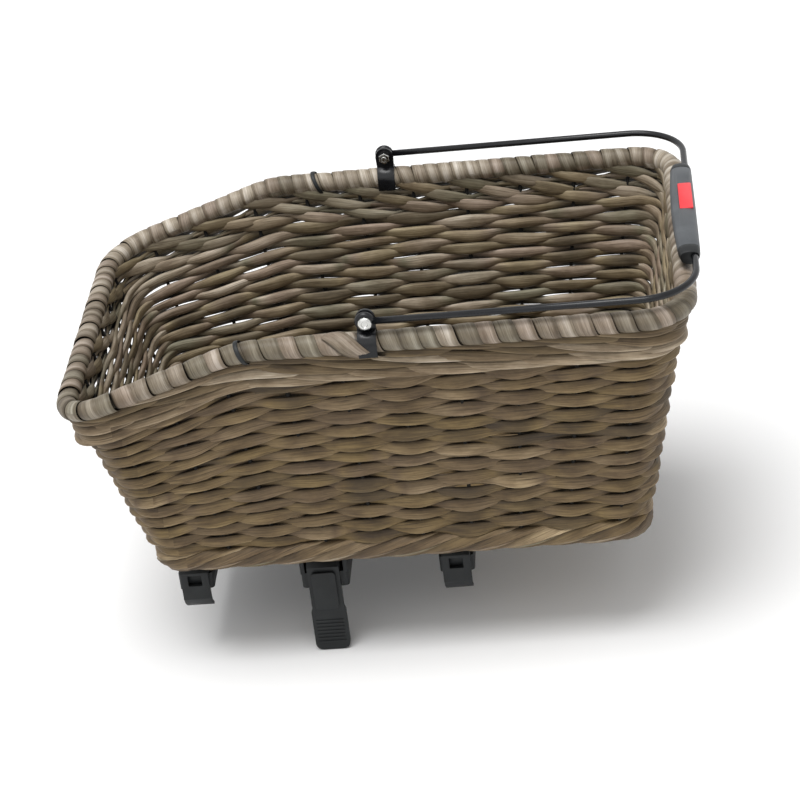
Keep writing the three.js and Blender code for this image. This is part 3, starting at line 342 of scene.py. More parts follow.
# Painted light and shade round the section, from the upper lip over the outer face to the lower lip, and
# back inside.
# Outside, the upper lip is painted dark as if shaded by the row above, and the lower lip pale as a
# highlight.
# Inside, the lower half is painted darker and the upper half paler, as if lit from above.
INNER_FACE = [(0.46, "#000000"), (0.54, "#ffffff"), (0.97, "#ffffff"), (1.0, "#000000")]
PAINTED_LIP_LIGHT_AND_SHADE = [(0.0, "#8b8476"), (0.1, "#b9b3a7"), (0.3, "#dfdbd5"), (0.42, "#ffffff"), (0.5, "#ffffff"),
              (0.56, "#b9b3a7"), (0.7, "#d6d2cb"), (0.82, "#ffffff"), (0.93, "#ffffff"), (1.0, "#cdc8bf")]
CRACK_SHADE = [(0.31, "#8f8778"), (0.38, "#ffffff")]
STAIN_SHADE = [(0.3, "#a3988a"), (0.5, "#dedad3"), (0.66, "#ffffff")]
RATTAN_IOR = 1.45


def woven_material(name, outer, inner, fibre, painted_shade_colour, roughness):
    """Split rattan, dried and weathered. Each strand keeps its own shade, brown outside and
    greyer on the pith side. Fine fibres and a few dry cracks run along it. Light and shade are
    painted on as well: a pale painted highlight on its lower lip, which stands out of the weave,
    a darker upper lip, and painted shade in the crevices between strands."""
    material, tree, shader = new_material(name)
    strand = add(tree, "ShaderNodeUVMap", {"uv_map": "strand"})
    tone = add(tree, "ShaderNodeAttribute", {"attribute_name": "tone"})
    own = add(tree, "ShaderNodeSeparateColor", Color=tone.outputs["Color"])
    apart = add(tree, "ShaderNodeCombineXYZ", _0=own.outputs[0], _1=own.outputs[1])
    apart = add(tree, "ShaderNodeVectorMath", {"operation": "SCALE", "Scale": MARK_SHIFT},
                _0=apart.outputs[0])
    marks = {}
    for mark, (length, width, detail) in STRAND_MARKS.items():
        scale = (1 / (length * MM), STRAND_GIRTH / width, 1)
        place = add(tree, "ShaderNodeMapping", {"Scale": scale}, Vector=strand.outputs["UV"])
        place = add(tree, "ShaderNodeVectorMath", {"operation": "ADD"}, _0=place.outputs[0],
                    _1=apart.outputs[0])
        marks[mark] = add(tree, "ShaderNodeTexNoise", {"Scale": 1, "Detail": detail, "Roughness": 0.6},
                          Vector=place.outputs[0]).outputs["Fac"]
    faces = add(tree, "ShaderNodeSeparateXYZ", Vector=strand.outputs["UV"])
    turned = add(tree, "ShaderNodeValToRGB", {"stops": INNER_FACE}, Fac=faces.outputs[1])
    skin = add(tree, "ShaderNodeValToRGB", {"stops": outer}, Fac=own.outputs[2])
    pith = add(tree, "ShaderNodeValToRGB", {"stops": inner}, Fac=own.outputs[2])
    colour = add(tree, "ShaderNodeMix", {"data_type": "RGBA"}, _0=turned.outputs[0], _6=skin.outputs[0],
                 _7=pith.outputs[0]).outputs[2]
    # Painted shade: ambient occlusion darkens the colour towards the painted shade colour in the crevices
    # between strands.
    painted_crevice_shade = add(tree, "ShaderNodeAmbientOcclusion", {"Distance": PAINTED_SHADE_REACH * MM, "samples": 8})
    # Layers multiplied in: the real fibres, cracks and stains, then the painted lip light and shade and the
    # painted crevice shade.
    for source, stops in [
            (marks["fibres"], [(0.3, fibre), (0.68, "#ffffff")]),
            (marks["cracks"], CRACK_SHADE),
            (marks["stains"], STAIN_SHADE),
            (faces.outputs[1], PAINTED_LIP_LIGHT_AND_SHADE),
            (painted_crevice_shade.outputs["AO"], [(0.14, painted_shade_colour), (0.7, "#ffffff")])]:
        layer = add(tree, "ShaderNodeValToRGB", {"stops": stops}, Fac=source)
        colour = add(tree, "ShaderNodeMix", {"data_type": "RGBA", "blend_type": "MULTIPLY", "Factor": 1},
                     _6=colour, _7=layer.outputs[0]).outputs[2]
    tree.links.new(colour, shader.inputs["Base Color"])
    shader.inputs["Roughness"].default_value = roughness
    shader.inputs["IOR"].default_value = RATTAN_IOR
    bump = add(tree, "ShaderNodeBump", {"Strength": 0.6, "Distance": FIBRE_HEIGHT * MM},
               Height=marks["fibres"])
    tree.links.new(bump.outputs[0], shader.inputs["Normal"])
    return material


# Shades that single strands take, on the skin side and on the pith side.
WALL_SKIN = [(0.0, "#716043"), (0.2, "#a08a5d"), (0.4, "#958063"), (0.6, "#af9970"), (0.8, "#907b60"),
             (1.0, "#d8c39f")]
WALE_SKIN = [(0.0, "#685840"), (0.25, "#93805f"), (0.5, "#b19d80"), (0.75, "#d2c0a6"), (1.0, "#f2e6d4")]
WALL_PITH = [(0.0, "#8d816c"), (0.2, "#c3b494"), (0.4, "#b5a494"), (0.6, "#a29e88"), (0.8, "#e0d4c2"),
             (1.0, "#c6b3a3")]
# The fifth colour of each is the painted shade that darkens the crevices of the weave.
rattan = woven_material("Split rattan, weathered", WALL_SKIN, WALL_PITH, "#a9a49b", "#2c2314", 0.62)
# The waling is the same rattan, picked paler, with darker painted shade in the crevices between its long
# strands.
pale_rattan = woven_material("Split rattan, pale rounds", WALE_SKIN, WALL_PITH, "#a9a49b", "#241b0e", 0.6)
# The rim's strip is wound with the cane's pale skin outwards, so it is lighter and smoother.
WRAP_SKIN = [(0.0, "#7c7365"), (0.25, "#988f80"), (0.4, "#a6a192"), (0.6, "#c0b2a6"), (0.8, "#cdc4b8"),
             (1.0, "#ebe4da")]
cane_strip = woven_material("Rattan strip, pale", WRAP_SKIN, WRAP_SKIN, "#bdb8b0", "#3d3323", 0.5)


def spots(size):
    """Noise scale for spots so many millimetres across."""
    return 1 / (size * MM)


PEEL = 0.833                    # orange peel of a sprayed coat
CLOUDS = 11.1                   # cloudy shade and gloss of a coat or plate
GRAIN = 1.111                   # a mould's grain is 0.1 mm, too fine to show, so it is drawn this coarse
FINE_GRAIN = 0.714
DUST = 16.7                     # dusty shade of a moulded face
SURFACE_DEPTH = 0.2
DARK_SPECULAR = 0.3             # the default would show the white surroundings and turn black to grey


def painted_metal(name, colours, roughness, metallic=0.0):
    """Enamelled or plated steel: hard and glossy, with a faint orange peel and slightly cloudy."""
    material, tree, shader = new_material(name)
    place = add(tree, "ShaderNodeTexCoord")
    peel = add(tree, "ShaderNodeTexNoise", {"Scale": spots(PEEL), "Detail": 1},
               Vector=place.outputs["Object"])
    wear = add(tree, "ShaderNodeTexNoise", {"Scale": spots(CLOUDS), "Detail": 4},
               Vector=place.outputs["Object"])
    shade = add(tree, "ShaderNodeValToRGB", {"stops": [(0.3, colours[0]), (0.7, colours[1])]},
                Fac=wear.outputs["Fac"])
    tree.links.new(shade.outputs[0], shader.inputs["Base Color"])
    gloss = add(tree, "ShaderNodeMapRange", {"To Min": roughness - 0.06, "To Max": roughness + 0.08},
                Value=wear.outputs["Fac"])
    tree.links.new(gloss.outputs[0], shader.inputs["Roughness"])
    shader.inputs["Metallic"].default_value = metallic
    if not metallic:
        shader.inputs["Specular IOR Level"].default_value = DARK_SPECULAR
    bump = add(tree, "ShaderNodeBump", {"Strength": 0.02, "Distance": SURFACE_DEPTH * MM},
               Height=peel.outputs["Fac"])
    tree.links.new(bump.outputs[0], shader.inputs["Normal"])
    return material


def moulded(name, colours, roughness, grain=GRAIN):
    """Moulded plastic or rubber: even and satin to dull, with the mould's grain and a little dust."""
    material, tree, shader = new_material(name)
    place = add(tree, "ShaderNodeTexCoord")
    fine = add(tree, "ShaderNodeTexNoise", {"Scale": spots(grain), "Detail": 3, "Roughness": 0.6},
               Vector=place.outputs["Object"])
    dust = add(tree, "ShaderNodeTexNoise", {"Scale": spots(DUST), "Detail": 4},
               Vector=place.outputs["Object"])
    shade = add(tree, "ShaderNodeValToRGB", {"stops": [(0.35, colours[0]), (0.7, colours[1])]},
                Fac=dust.outputs["Fac"])
    tree.links.new(shade.outputs[0], shader.inputs["Base Color"])
    gloss = add(tree, "ShaderNodeMapRange", {"To Min": roughness - 0.05, "To Max": roughness + 0.1},
                Value=dust.outputs["Fac"])
    tree.links.new(gloss.outputs[0], shader.inputs["Roughness"])
    shader.inputs["Specular IOR Level"].default_value = DARK_SPECULAR
    bump = add(tree, "ShaderNodeBump", {"Strength": 0.25, "Distance": SURFACE_DEPTH * MM},
               Height=fine.outputs["Fac"])
    tree.links.new(bump.outputs[0], shader.inputs["Normal"])
    return material


# Stoved enamel on the handle and its brackets: near black, with narrow glints.
black_steel = painted_metal("Steel wire, black enamel", ("#101113", "#1a1b1e"), 0.22)
# Plated screws and nuts: pale metal that mirrors the white studio.
zinc = painted_metal("Steel, bright zinc", ("#b9b9b6", "#cfcfcc"), 0.22, 1.0)
# Wire as it leaves the drawing die: grey metal, satin.
spring_steel = painted_metal("Spring steel, drawn", ("#8b8d90", "#a3a5a8"), 0.34, 1.0)
# The clamp, the grip's caps and the bands: near black, satin, the grain seen only at a slant.
nylon = moulded("Nylon, black, moulded", ("#17191a", "#202324"), 0.48)
# The grip: a soft, even dark grey, paler than the nylon caps beside it.
grip_plastic = moulded("Grip plastic, dark grey", ("#4d5053", "#5c5f62"), 0.5, FINE_GRAIN)
# The stakes: dull black, so they read as dark lines in the gaps of the weave.
coated_rod = moulded("Steel rod, black PVC coat", ("#0e0d0b", "#161411"), 0.85)
# The inlay: clear even red with a slight sheen.
red_plastic = moulded("Inlay plastic, red", ("#e2343c", "#ee4148"), 0.35, FINE_GRAIN)
# Pads and liners: dull black without a glint.
rubber = moulded("Rubber, black", ("#151616", "#1e1f1f"), 0.75)


# The woven wall: each row runs over one stake and behind the next, and the rows take turns.

STRAND_POINTS = 12
STEPS_PER_STAKE = 8
ROWS = 24
WALE_HEIGHT = 20
WOVEN_SHARE = 1 - WALE_HEIGHT / (RIM_LEVEL - RIM_RADIUS - FOOT_TOP)
STRAND_WIDTH = 9.4              # at a stake, where a strand lies flat on it
STRAND_WIDTHS = (0.8, 1.14)     # least and most of that width
STRAND_WAIST = 0.72             # share of that width left where two strands cross
WAIST_BLUNTNESS = 1.2
STRAND_THICKNESS = 2.3
STRAND_ROUND = 1.7              # how much rounder its pith side is than its skin side
STRAND_SWING = 2.3              # middle of a strand at a stake, out of the wall's middle
STRAND_SWINGS = (0.8, 1.15)     # least and most of that swing
STRAND_TILTS = (12, 27)         # degrees that its lower lip stands out by
INNER_TILT = 0.35               # share of that tilt inside the basket
STRAND_LIFT = 0.6               # spread of its height at the stakes
STRAND_SLANT = (0.15, 0.5)      # mean and spread of its rise between two stakes
STRAND_CREASE = 0.2             # spread of the dents in it
END_WAIST = 0.92                # the two ends are beaten tighter, with the strands lying flatter
END_SWING = 0.6
THINNING = 0.8                  # how far strands thin where the dipped rim leaves them less height
NEW_STRAND = 0.25               # chance at each stake that a new strand is let in
SHADE_DRIFT = 0.13              # spread of its shade from stake to stake


def strand_tones(rng, spaces, steps, palest=0.0):
    """Shades along a strand. Every few stakes a new one is let in, and each crossing shifts
    the shade a little. palest leaves out so much of the dark end."""
    shades = []
    for _ in range(spaces):
        if not shades or rng.random() < NEW_STRAND:
            own = rng.uniform(palest, 1)
        shades.append(min(max(own + rng.gauss(0, SHADE_DRIFT), palest), 1))
    first, second = rng.random(), rng.random()
    return [(first, second, wave(shades, step / steps), 1) for step in range(spaces * steps)]


def strand_creases(rng, depth, spaces):
    """For each point of the section, how far it is dented at each stake."""
    return list(zip(*[[rng.gauss(0, depth) for _ in range(STRAND_POINTS)] for _ in range(spaces)]))


def tilted(section, creases, place, tilt):
    """A dented section turned about its strand: each point's way outwards and upwards."""
    points = []
    for (across, through), crease in zip(section, creases):
        through += wave(crease, place)
        points.append((through * math.cos(tilt) - across * math.sin(tilt),
                       across * math.cos(tilt) + through * math.sin(tilt)))
    return points


def wall_row(row):
    rng = random.Random(SEED["wall"] + row)
    widths = [rng.uniform(*STRAND_WIDTHS) for _ in range(STAKES)]
    lifts = [rng.gauss(0, STRAND_LIFT) for _ in range(STAKES)]
    slants = [rng.gauss(*STRAND_SLANT) for _ in range(STAKES)]
    swings = [rng.uniform(*STRAND_SWINGS) for _ in range(STAKES)]
    tilts = [rng.uniform(*STRAND_TILTS) for _ in range(STAKES)]
    creases = strand_creases(rng, STRAND_CREASE, STAKES)
    height = (row + 0.5) / ROWS * WOVEN_SHARE
    rings = []
    for step in range(STAKES * STEPS_PER_STAKE):
        stake = step / STEPS_PER_STAKE
        phase = math.pi * (stake + row)
        side = math.cos(phase)
        point, out = wall_at(stake, height)
        crowding = (rim_height(point.x) - RIM_RADIUS - FOOT_TOP) / (RIM_LEVEL - RIM_RADIUS - FOOT_TOP)
        rise = wave(slants, stake) * math.sin(phase) + wave(lifts, stake)
        on_end = abs(out.x)
        swing = STRAND_SWING * side * wave(swings, stake) * (1 - (1 - END_SWING) * on_end)
        waist = STRAND_WAIST + (END_WAIST - STRAND_WAIST) * on_end
        waist += (1 - waist) * abs(side) ** WAIST_BLUNTNESS
        half_width = STRAND_WIDTH / 2 * waist * wave(widths, stake) * crowding ** THINNING
        tilt = math.radians(wave(tilts, stake)) * (side if side > 0 else INNER_TILT * side)
        section = flat_section(half_width, STRAND_THICKNESS / 2, STRAND_POINTS, STRAND_ROUND)
        rings.append([point + out * (swing + outward) + UP * (rise + up)
                      for outward, up in tilted(section, creases, stake, tilt)])
    return sweep(rings, True, strand_tones(rng, STAKES, STEPS_PER_STAKE))


wall = finish_mesh(gather([wall_row(row) for row in range(ROWS)]), "wall_strands", rattan)
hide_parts("woven_wall")

# Upright stakes, coated rods seen only through the gaps.
STAKE_RADIUS = 1.3
STAKE_POINTS = 6
STAKE_BENDS = 4


def stake_wire(number):
    rings = []
    for bend in range(STAKE_BENDS + 1):
        point, out = wall_at(number, bend / STAKE_BENDS)
        along = Vector((-out.y, out.x, 0))
        rings.append(circle(point, along, out, STAKE_RADIUS, STAKE_POINTS))
    return sweep(rings, False)


stakes = finish_mesh(gather([stake_wire(k) for k in range(STAKES)]), "stake_wires", coated_rod)

# Waling under the rim: long slanting strands, three to a round, each over two and in behind one.
WALE_ROUNDS = 3
WALE_MEMBERS = 3
WALE_FLOATS = 11                # floats of one strand on its way round
WALE_STEPS = 32
WALE_OUTSIDE = 0.68             # share of a float that lies outside the wall
WALE_STAGGER = 0.17             # shift of each round's floats against those above
WALE_WIDTH = 8.6
WALE_WIDTHS = (0.82, 1.1)
WALE_TIP = 0.5                  # share of its width left where it dives behind a stake
WALE_THICKNESS = 2.6
WALE_REST = 0.1                 # how far out it lies at the ends of a float
WALE_BULGE = 3.1                # and how much further in the middle
WALE_TUCK = 2.4                 # how far in it passes behind a stake
WALE_TILT = 33
WALE_INNER_TILT = -0.4
BULGE_BLUNTNESS = 0.7
TUCK_BLUNTNESS = 0.8
TILT_BLUNTNESS = 0.5
WALE_SLANT = 4.2                # a float starts this far above its round's middle and ends as far below
LAST_SLANT = 0.6                # share of that slant in the lowest round
WALE_LIFT = 0.8
WALE_CREASE = 0.16
WALE_LEAN = 0.11                # the wall leans in by this share of the way down
WALE_COVER = 4                  # the top round reaches this far up behind the rim's strip
WALE_PALEST = 0.1
WALE_SEED_STEP = 10             # between the rounds, so that each strand has a seed of its own


def wale_strand(turn, member):
    rng = random.Random(SEED["wale"] + WALE_SEED_STEP * turn + member)
    steps = WALE_FLOATS * WALE_STEPS
    pitch = (WALE_HEIGHT + WALE_COVER) / WALE_ROUNDS
    drop = pitch * (turn + 0.5) - WALE_COVER
    round_slant = WALE_SLANT * (1 if turn < WALE_ROUNDS - 1 else LAST_SLANT)
    widths = [rng.uniform(*WALE_WIDTHS) for _ in range(WALE_FLOATS)]
    lifts = [rng.gauss(0, WALE_LIFT) for _ in range(WALE_FLOATS)]
    creases = strand_creases(rng, WALE_CREASE, WALE_FLOATS)
    rings = []
    for step in range(steps):
        place = step / WALE_STEPS
        share = (place + member / WALE_MEMBERS + turn * WALE_STAGGER) % 1
        outside = share < WALE_OUTSIDE
        travel = share / WALE_OUTSIDE if outside else (share - WALE_OUTSIDE) / (1 - WALE_OUTSIDE)
        bow = math.sin(math.pi * travel)
        slant = 1 - 2 * travel if outside else 2 * travel - 1
        point, out = wall_at(step / steps * STAKES, 1)
        if outside:
            swing = WALE_REST + WALE_BULGE * bow ** BULGE_BLUNTNESS
        else:
            swing = -WALE_TUCK * bow ** TUCK_BLUNTNESS
        tilt = math.radians(WALE_TILT * bow ** TILT_BLUNTNESS) * (1 if outside else WALE_INNER_TILT)
        half_width = WALE_WIDTH / 2 * wave(widths, place)
        half_width *= WALE_TIP + (1 - WALE_TIP) * bow ** BULGE_BLUNTNESS
        rise = slant * round_slant + wave(lifts, place)
        section = flat_section(half_width, WALE_THICKNESS / 2, STRAND_POINTS)
        rings.append([point + out * (swing + outward - WALE_LEAN * drop) + UP * (up - drop + rise)
                      for outward, up in tilted(section, creases, place, tilt)])
    return sweep(rings, True, strand_tones(rng, WALE_FLOATS, WALE_STEPS, WALE_PALEST))


wale_strands = [wale_strand(turn, member) for turn in range(WALE_ROUNDS) for member in range(WALE_MEMBERS)]
wale = finish_mesh(gather(wale_strands), "waling_strands", pale_rattan)
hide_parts("upper_wale")

# Foot border: strands laid round each other like a rope, pressed flat.
FOOT_STRANDS = 5
FOOT_LAY = 128                  # length of one turn of the rope
FOOT_STEPS = 24
FOOT_HEIGHT = FOOT_TOP - UNDERSIDE
FOOT_MIDDLE = (UNDERSIDE + FOOT_TOP) / 2
FOOT_DEPTH = 12
FOOT_STRAND_WIDTH = 9.8
FOOT_STRAND_WIDTHS = (0.85, 1.1)
FOOT_STRAND_THICKNESS = 4.4
FOOT_STRAND_POINTS = 10
FOOT_STRAND_INSET = (1.9, 1.8)  # a strand's middle lies so far inside the border's depth and height
FOOT_PALEST = 0.3
FOOT_CORE_INSET = 3
FOOT_CORE_STEPS = 96
FOOT_CORE_POINTS = 8
foot_line = foot.inset(FOOT_DEPTH / 2)


def foot_strand(member):
    rng = random.Random(SEED["foot"] + member)
    turns = round(foot_line.perimeter / FOOT_LAY)
    steps = turns * FOOT_STEPS
    widths = [rng.uniform(*FOOT_STRAND_WIDTHS) for _ in range(turns)]
    half_depth = FOOT_DEPTH / 2 - FOOT_STRAND_INSET[0]
    half_height = FOOT_HEIGHT / 2 - FOOT_STRAND_INSET[1]
    rings = []
    for step in range(steps):
        share = step / steps
        point, out = foot_line.at(share * foot_line.perimeter)
        angle = 2 * math.pi * (turns * share + member / FOOT_STRANDS)
        c, s = math.cos(angle), math.sin(angle)
        centre = point + out * half_depth * c + UP * (FOOT_MIDDLE + half_height * s)
        facing = (out * c + UP * s).normalized()
        beside = (UP * c - out * s).normalized()
        half_width = FOOT_STRAND_WIDTH / 2 * wave(widths, share * turns)
        section = flat_section(half_width, FOOT_STRAND_THICKNESS / 2, FOOT_STRAND_POINTS)
        rings.append([centre + beside * across + facing * through for across, through in section])
    return sweep(rings, True, strand_tones(rng, turns, FOOT_STEPS, FOOT_PALEST))


def foot_core():
    section = flat_section(FOOT_DEPTH / 2 - FOOT_CORE_INSET, FOOT_HEIGHT / 2 - FOOT_CORE_INSET,
                           FOOT_CORE_POINTS)
    rings = []
    for step in range(FOOT_CORE_STEPS):
        point, out = foot_line.at(step / FOOT_CORE_STEPS * foot_line.perimeter)
        rings.append([point + out * across + UP * (FOOT_MIDDLE + through) for across, through in section])
    return sweep(rings, True)


border = finish_mesh(gather([foot_strand(k) for k in range(FOOT_STRANDS)] + [foot_core()]),
                     "foot_border_strands", rattan)
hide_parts("foot_border")

# Rim wrap: one flat strip wound round a bundle of canes, each turn lapping over the next.
STRIP_STEPS = 28
STRIP_PITCH = 11
STRIP_SPREAD = 0.14             # turns are so much wider on the near side, and tighter on the far side
STRIP_LAP = 2.4
STRIP_LIFT = 0.7
STRIP_BULGE = 0.3
STRIP_THICKNESS = 0.7
STRIP_RADIUS = RIM_RADIUS - 1.4
STRIP_SHIFT = 1.1               # spread of the turns' places along the rim
STRIP_HEIGHTS = (-0.2, 0.25)    # least and most of how far a turn stands proud
NEW_STRIP = 0.12                # chance at each turn that a new strip is let in
STRIP_SHADE = 0.62              # share of the shades that the near side's turns take up
STRIP_FADE = 0.42               # how much paler the turns are away from the near side
STRIP_DRIFT = 0.14              # spread of the shade from turn to turn
# The strip's section, from -1 to 1 across its width and through its thickness.
STRIP_SECTION = [(-1, -1), (-0.6, 0.4), (-0.2, 0.8), (0.2, 0.9), (0.6, 0.85), (0.95, 0.7), (1, 0),
                 (0.4, -0.7)]
CORE_RADIUS = 4.9
RIM_CORE_STEPS = 160
RIM_CORE_POINTS = 12


def rim_point(distance, angle, radius):
    """Point on a tube round the rim's middle line. The angle runs from the outer side up."""
    point, out = rim.at(distance)
    return (point + out * radius * math.cos(angle)
            + UP * (rim_height(point.x) + radius * math.sin(angle)))


def rim_strip():
    rng = random.Random(SEED["rim"])
    turns = round(rim.perimeter / STRIP_PITCH)
    near_middle = rim.lengths[0] / 2 / rim.perimeter
    shifts = [rng.gauss(0, STRIP_SHIFT) for _ in range(turns)]
    heights = [rng.uniform(*STRIP_HEIGHTS) for _ in range(turns)]
    rings, tones = [], []
    for step in range(turns * STRIP_STEPS):
        turn = step / STRIP_STEPS
        angle = -2 * math.pi * turn
        swell = 2 * math.pi * (turn / turns - near_middle)
        middle = rim.perimeter * (turn / turns + STRIP_SPREAD * math.sin(swell) / (2 * math.pi))
        half = (rim.perimeter / turns * (1 + STRIP_SPREAD * math.cos(swell)) + STRIP_LAP) / 2
        ring = []
        for across, through in STRIP_SECTION:
            distance = middle + across * half + wave(shifts, turn)
            radius = (STRIP_RADIUS + STRIP_LIFT * (across + 1) / 2 + STRIP_BULGE * (1 - across * across)
                      + through * STRIP_THICKNESS / 2 + wave(heights, turn))
            ring.append(rim_point(distance, angle, radius))
        rings.append(ring)
        if step % STRIP_STEPS == STRIP_STEPS // 2 or not tones:
            if not tones or rng.random() < NEW_STRIP:
                own = [rng.random(), rng.random(), rng.random()]
            fade = STRIP_FADE * min(1 - math.cos(swell), 1)
            lightness = STRIP_SHADE * own[2] + fade + rng.gauss(0, STRIP_DRIFT)
            shade = (own[0], own[1], min(max(lightness, 0), 1), 1)
        tones.append(shade)
    return sweep(rings, True, tones)


def rim_core():
    angles = [2 * math.pi * k / RIM_CORE_POINTS for k in range(RIM_CORE_POINTS)]
    rings = []
    for step in range(RIM_CORE_STEPS):
        distance = step / RIM_CORE_STEPS * rim.perimeter
        rings.append([rim_point(distance, angle, CORE_RADIUS) for angle in angles])
    return sweep(rings, True)


def side_distance(side, x):
    """Distance along the rim to a place on its near or far side."""
    if side == "near":
        return x - rim.front - rim.radius
    return sum(rim.lengths[:4]) + rim.rear - rim.radius - x


BAND_WIDTH = 3
BAND_THICKNESS = 0.9
BAND_RADIUS = 8
BAND_SLANT = 3.2
BAND_STEPS = 40
BAND_POINTS = 8


def tie_band(side):
    """A thin band pulled tight round the rim, a little askew."""
    low, high = box_mm(f"{side}_tie_band")
    middle = side_distance(side, (low.x + high.x) / 2)
    lean = BAND_SLANT if side == "near" else -BAND_SLANT
    section = flat_section(BAND_WIDTH / 2, BAND_THICKNESS / 2, BAND_POINTS)
    rings = []
    for step in range(BAND_STEPS):
        angle = 2 * math.pi * step / BAND_STEPS
        rings.append([rim_point(middle + across - lean * math.sin(angle), angle, BAND_RADIUS + through)
                      for across, through in section])
    return sweep(rings, True)


for side in ("near", "far"):
    band = finish_mesh(tie_band(side), f"{side}_band", nylon)
    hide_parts(f"{side}_tie_band")

LAP_WIDTH = 12.5
LAP_RADIUS = 9.8                # clear of the bracket's strap
LAP_LINE_RADIUS = 8             # where its slant is measured
LAP_BULGE = 0.4
LAP_AHEAD = 26                  # it starts so far in front of the bracket's middle
LAP_TRAVEL = 38                 # its way along the rim
LAP_TOP = 94                    # degrees round the rim where it starts, on top
LAP_DROP = 232                  # degrees that it goes round by
LAP_SKEW = 42.6                 # degrees that its edge leans against the rim's line
LAP_TUCK = 2.6                  # its two ends go in under the turns beside it
LAP_FIRST_TUCK = 0.3            # share of its length that the first tuck takes
LAP_LAST_TUCK = 0.1
LAP_STEPS = 32
LAP_SHADES = 3


def bracket_lap():
    """The turn of the strip that runs askew over the near bracket's strap, from above on its
    front side to below on its rear side."""
    low, high = box_mm("near_pivot_bracket")
    start = side_distance("near", (low.x + high.x) / 2 - LAP_AHEAD)
    skew = math.radians(LAP_SKEW)
    rings = []
    for step in range(LAP_STEPS + 1):
        t = step / LAP_STEPS
        ends = max(LAP_FIRST_TUCK - t, 0) / LAP_FIRST_TUCK + max(t - 1 + LAP_LAST_TUCK, 0) / LAP_LAST_TUCK
        ring = []
        for across, through in STRIP_SECTION:
            offset = across * LAP_WIDTH / 2
            angle = math.radians(LAP_TOP - LAP_DROP * t) + offset * math.cos(skew) / LAP_LINE_RADIUS
            radius = (LAP_RADIUS - LAP_TUCK * ends + LAP_BULGE * (1 - across * across)
                      + through * STRIP_THICKNESS / 2)
            ring.append(rim_point(start + LAP_TRAVEL * t + offset * math.sin(skew), angle, radius))
        rings.append(ring)
    tones = strand_tones(random.Random(SEED["lap"]), LAP_SHADES, (LAP_STEPS + 1) // LAP_SHADES)
    return sweep(rings, False, tones)


lap = finish_mesh(bracket_lap(), "bracket_lap", cane_strip)
core = finish_mesh(rim_core(), "rim_core", rattan)
strip = finish_mesh(rim_strip(), "rim_strip", cane_strip)
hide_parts("rim_wrap", "rim_wire")

# Floor: flat strands that run lengthwise, packed tight, as if woven over stakes from side to side.
FLOOR_ROWS = 24
FLOOR_STAKES = 14
FLOOR_SWING = 1.2
SWING_BLUNTNESS = 0.75
FLOOR_GAP = 1                   # between the floor and the foot border
FLOOR_FILL = 0.96               # half a strand's width as a share of the rows' spacing, so they lap
FLOOR_WAIST = 0.62
FLOOR_WIDTHS = (0.9, 1.1)
FLOOR_THICKNESS = 2.2
FLOOR_POINTS = 8


def floor_row(line, row, middle):
    rng = random.Random(SEED["floor"] + row)
    pitch = 2 * line.half / FLOOR_ROWS
    y = -line.half + (row + 0.5) * pitch
    edge = max(abs(y) - (line.half - line.radius), 0)
    short = line.radius - math.sqrt(max(line.radius ** 2 - edge ** 2, 0))
    front, rear = line.front + short, line.rear - short
    steps = FLOOR_STAKES * STEPS_PER_STAKE
    widths = [rng.uniform(*FLOOR_WIDTHS) for _ in range(FLOOR_STAKES + 1)]
    rings = []
    for step in range(steps + 1):
        x = front + (rear - front) * step / steps
        stake = step / STEPS_PER_STAKE
        side = math.cos(math.pi * (stake + row))
        swing = FLOOR_SWING * blunt(side, SWING_BLUNTNESS)
        waist = FLOOR_WAIST + (1 - FLOOR_WAIST) * abs(side)
        half_width = FLOOR_FILL * pitch * waist * wave(widths, stake)
        rings.append([Vector((x, y - across, middle + swing + through))
                      for across, through in flat_section(half_width, FLOOR_THICKNESS / 2, FLOOR_POINTS)])
    return sweep(rings, False, strand_tones(rng, FLOOR_STAKES, STEPS_PER_STAKE) + [NEUTRAL_TONE])


def floor_strands():
    low, high = box_mm("woven_floor")
    line = foot.inset(FOOT_DEPTH + FLOOR_GAP)
    return gather([floor_row(line, row, (low.z + high.z) / 2) for row in range(FLOOR_ROWS)])


floor_weave = finish_mesh(floor_strands(), "floor_strands", rattan)
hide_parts("woven_floor")

# Handle: one round wire, bent at the two rear corners, with an eye round each pivot screw.
HANDLE_WIRE_RADIUS = 2.25
HANDLE_CORNER = 38
WIRE_POINTS = 18
BEND_STEPS = 16
EYE_STEPS = 36


def handle_parts():
    low, high = box_mm("handle_wire")
    reach, half = high.x - HANDLE_WIRE_RADIUS, high.y - HANDLE_WIRE_RADIUS
    eye = (high.z - low.z) / 2 - HANDLE_WIRE_RADIUS
    pivot = Vector((low.x + eye + HANDLE_WIRE_RADIUS, 0, (low.z + high.z) / 2))
    corner = reach - HANDLE_CORNER
    route = [Vector((pivot.x + eye, -half, pivot.z))]
    for side, start in [(-1, -90), (1, 0)]:
        for step in range(BEND_STEPS + 1):
            angle = math.radians(start + 90 * step / BEND_STEPS)
            route.append(Vector((corner + HANDLE_CORNER * math.cos(angle),
                                 side * (half - HANDLE_CORNER) + HANDLE_CORNER * math.sin(angle), pivot.z)))
    route.append(Vector((pivot.x + eye, half, pivot.z)))
    wire = []
    for k, place in enumerate(route):
        ahead = (route[min(k + 1, len(route) - 1)] - route[max(k - 1, 0)]).normalized()
        beside = Vector((-ahead.y, ahead.x, 0))
        wire.append(circle(place, beside, UP, HANDLE_WIRE_RADIUS, WIRE_POINTS))
    parts = [sweep(wire, False)]
    axis = Vector((0, 1, 0))
    for y in (-half, half):
        rings = []
        for step in range(EYE_STEPS):
            turn = 2 * math.pi * step / EYE_STEPS
            out = Vector((math.cos(turn), 0, math.sin(turn)))
            rings.append(circle(pivot + axis * y + out * eye, out, axis, HANDLE_WIRE_RADIUS, WIRE_POINTS))
        parts.append(sweep(rings, True))
    return parts


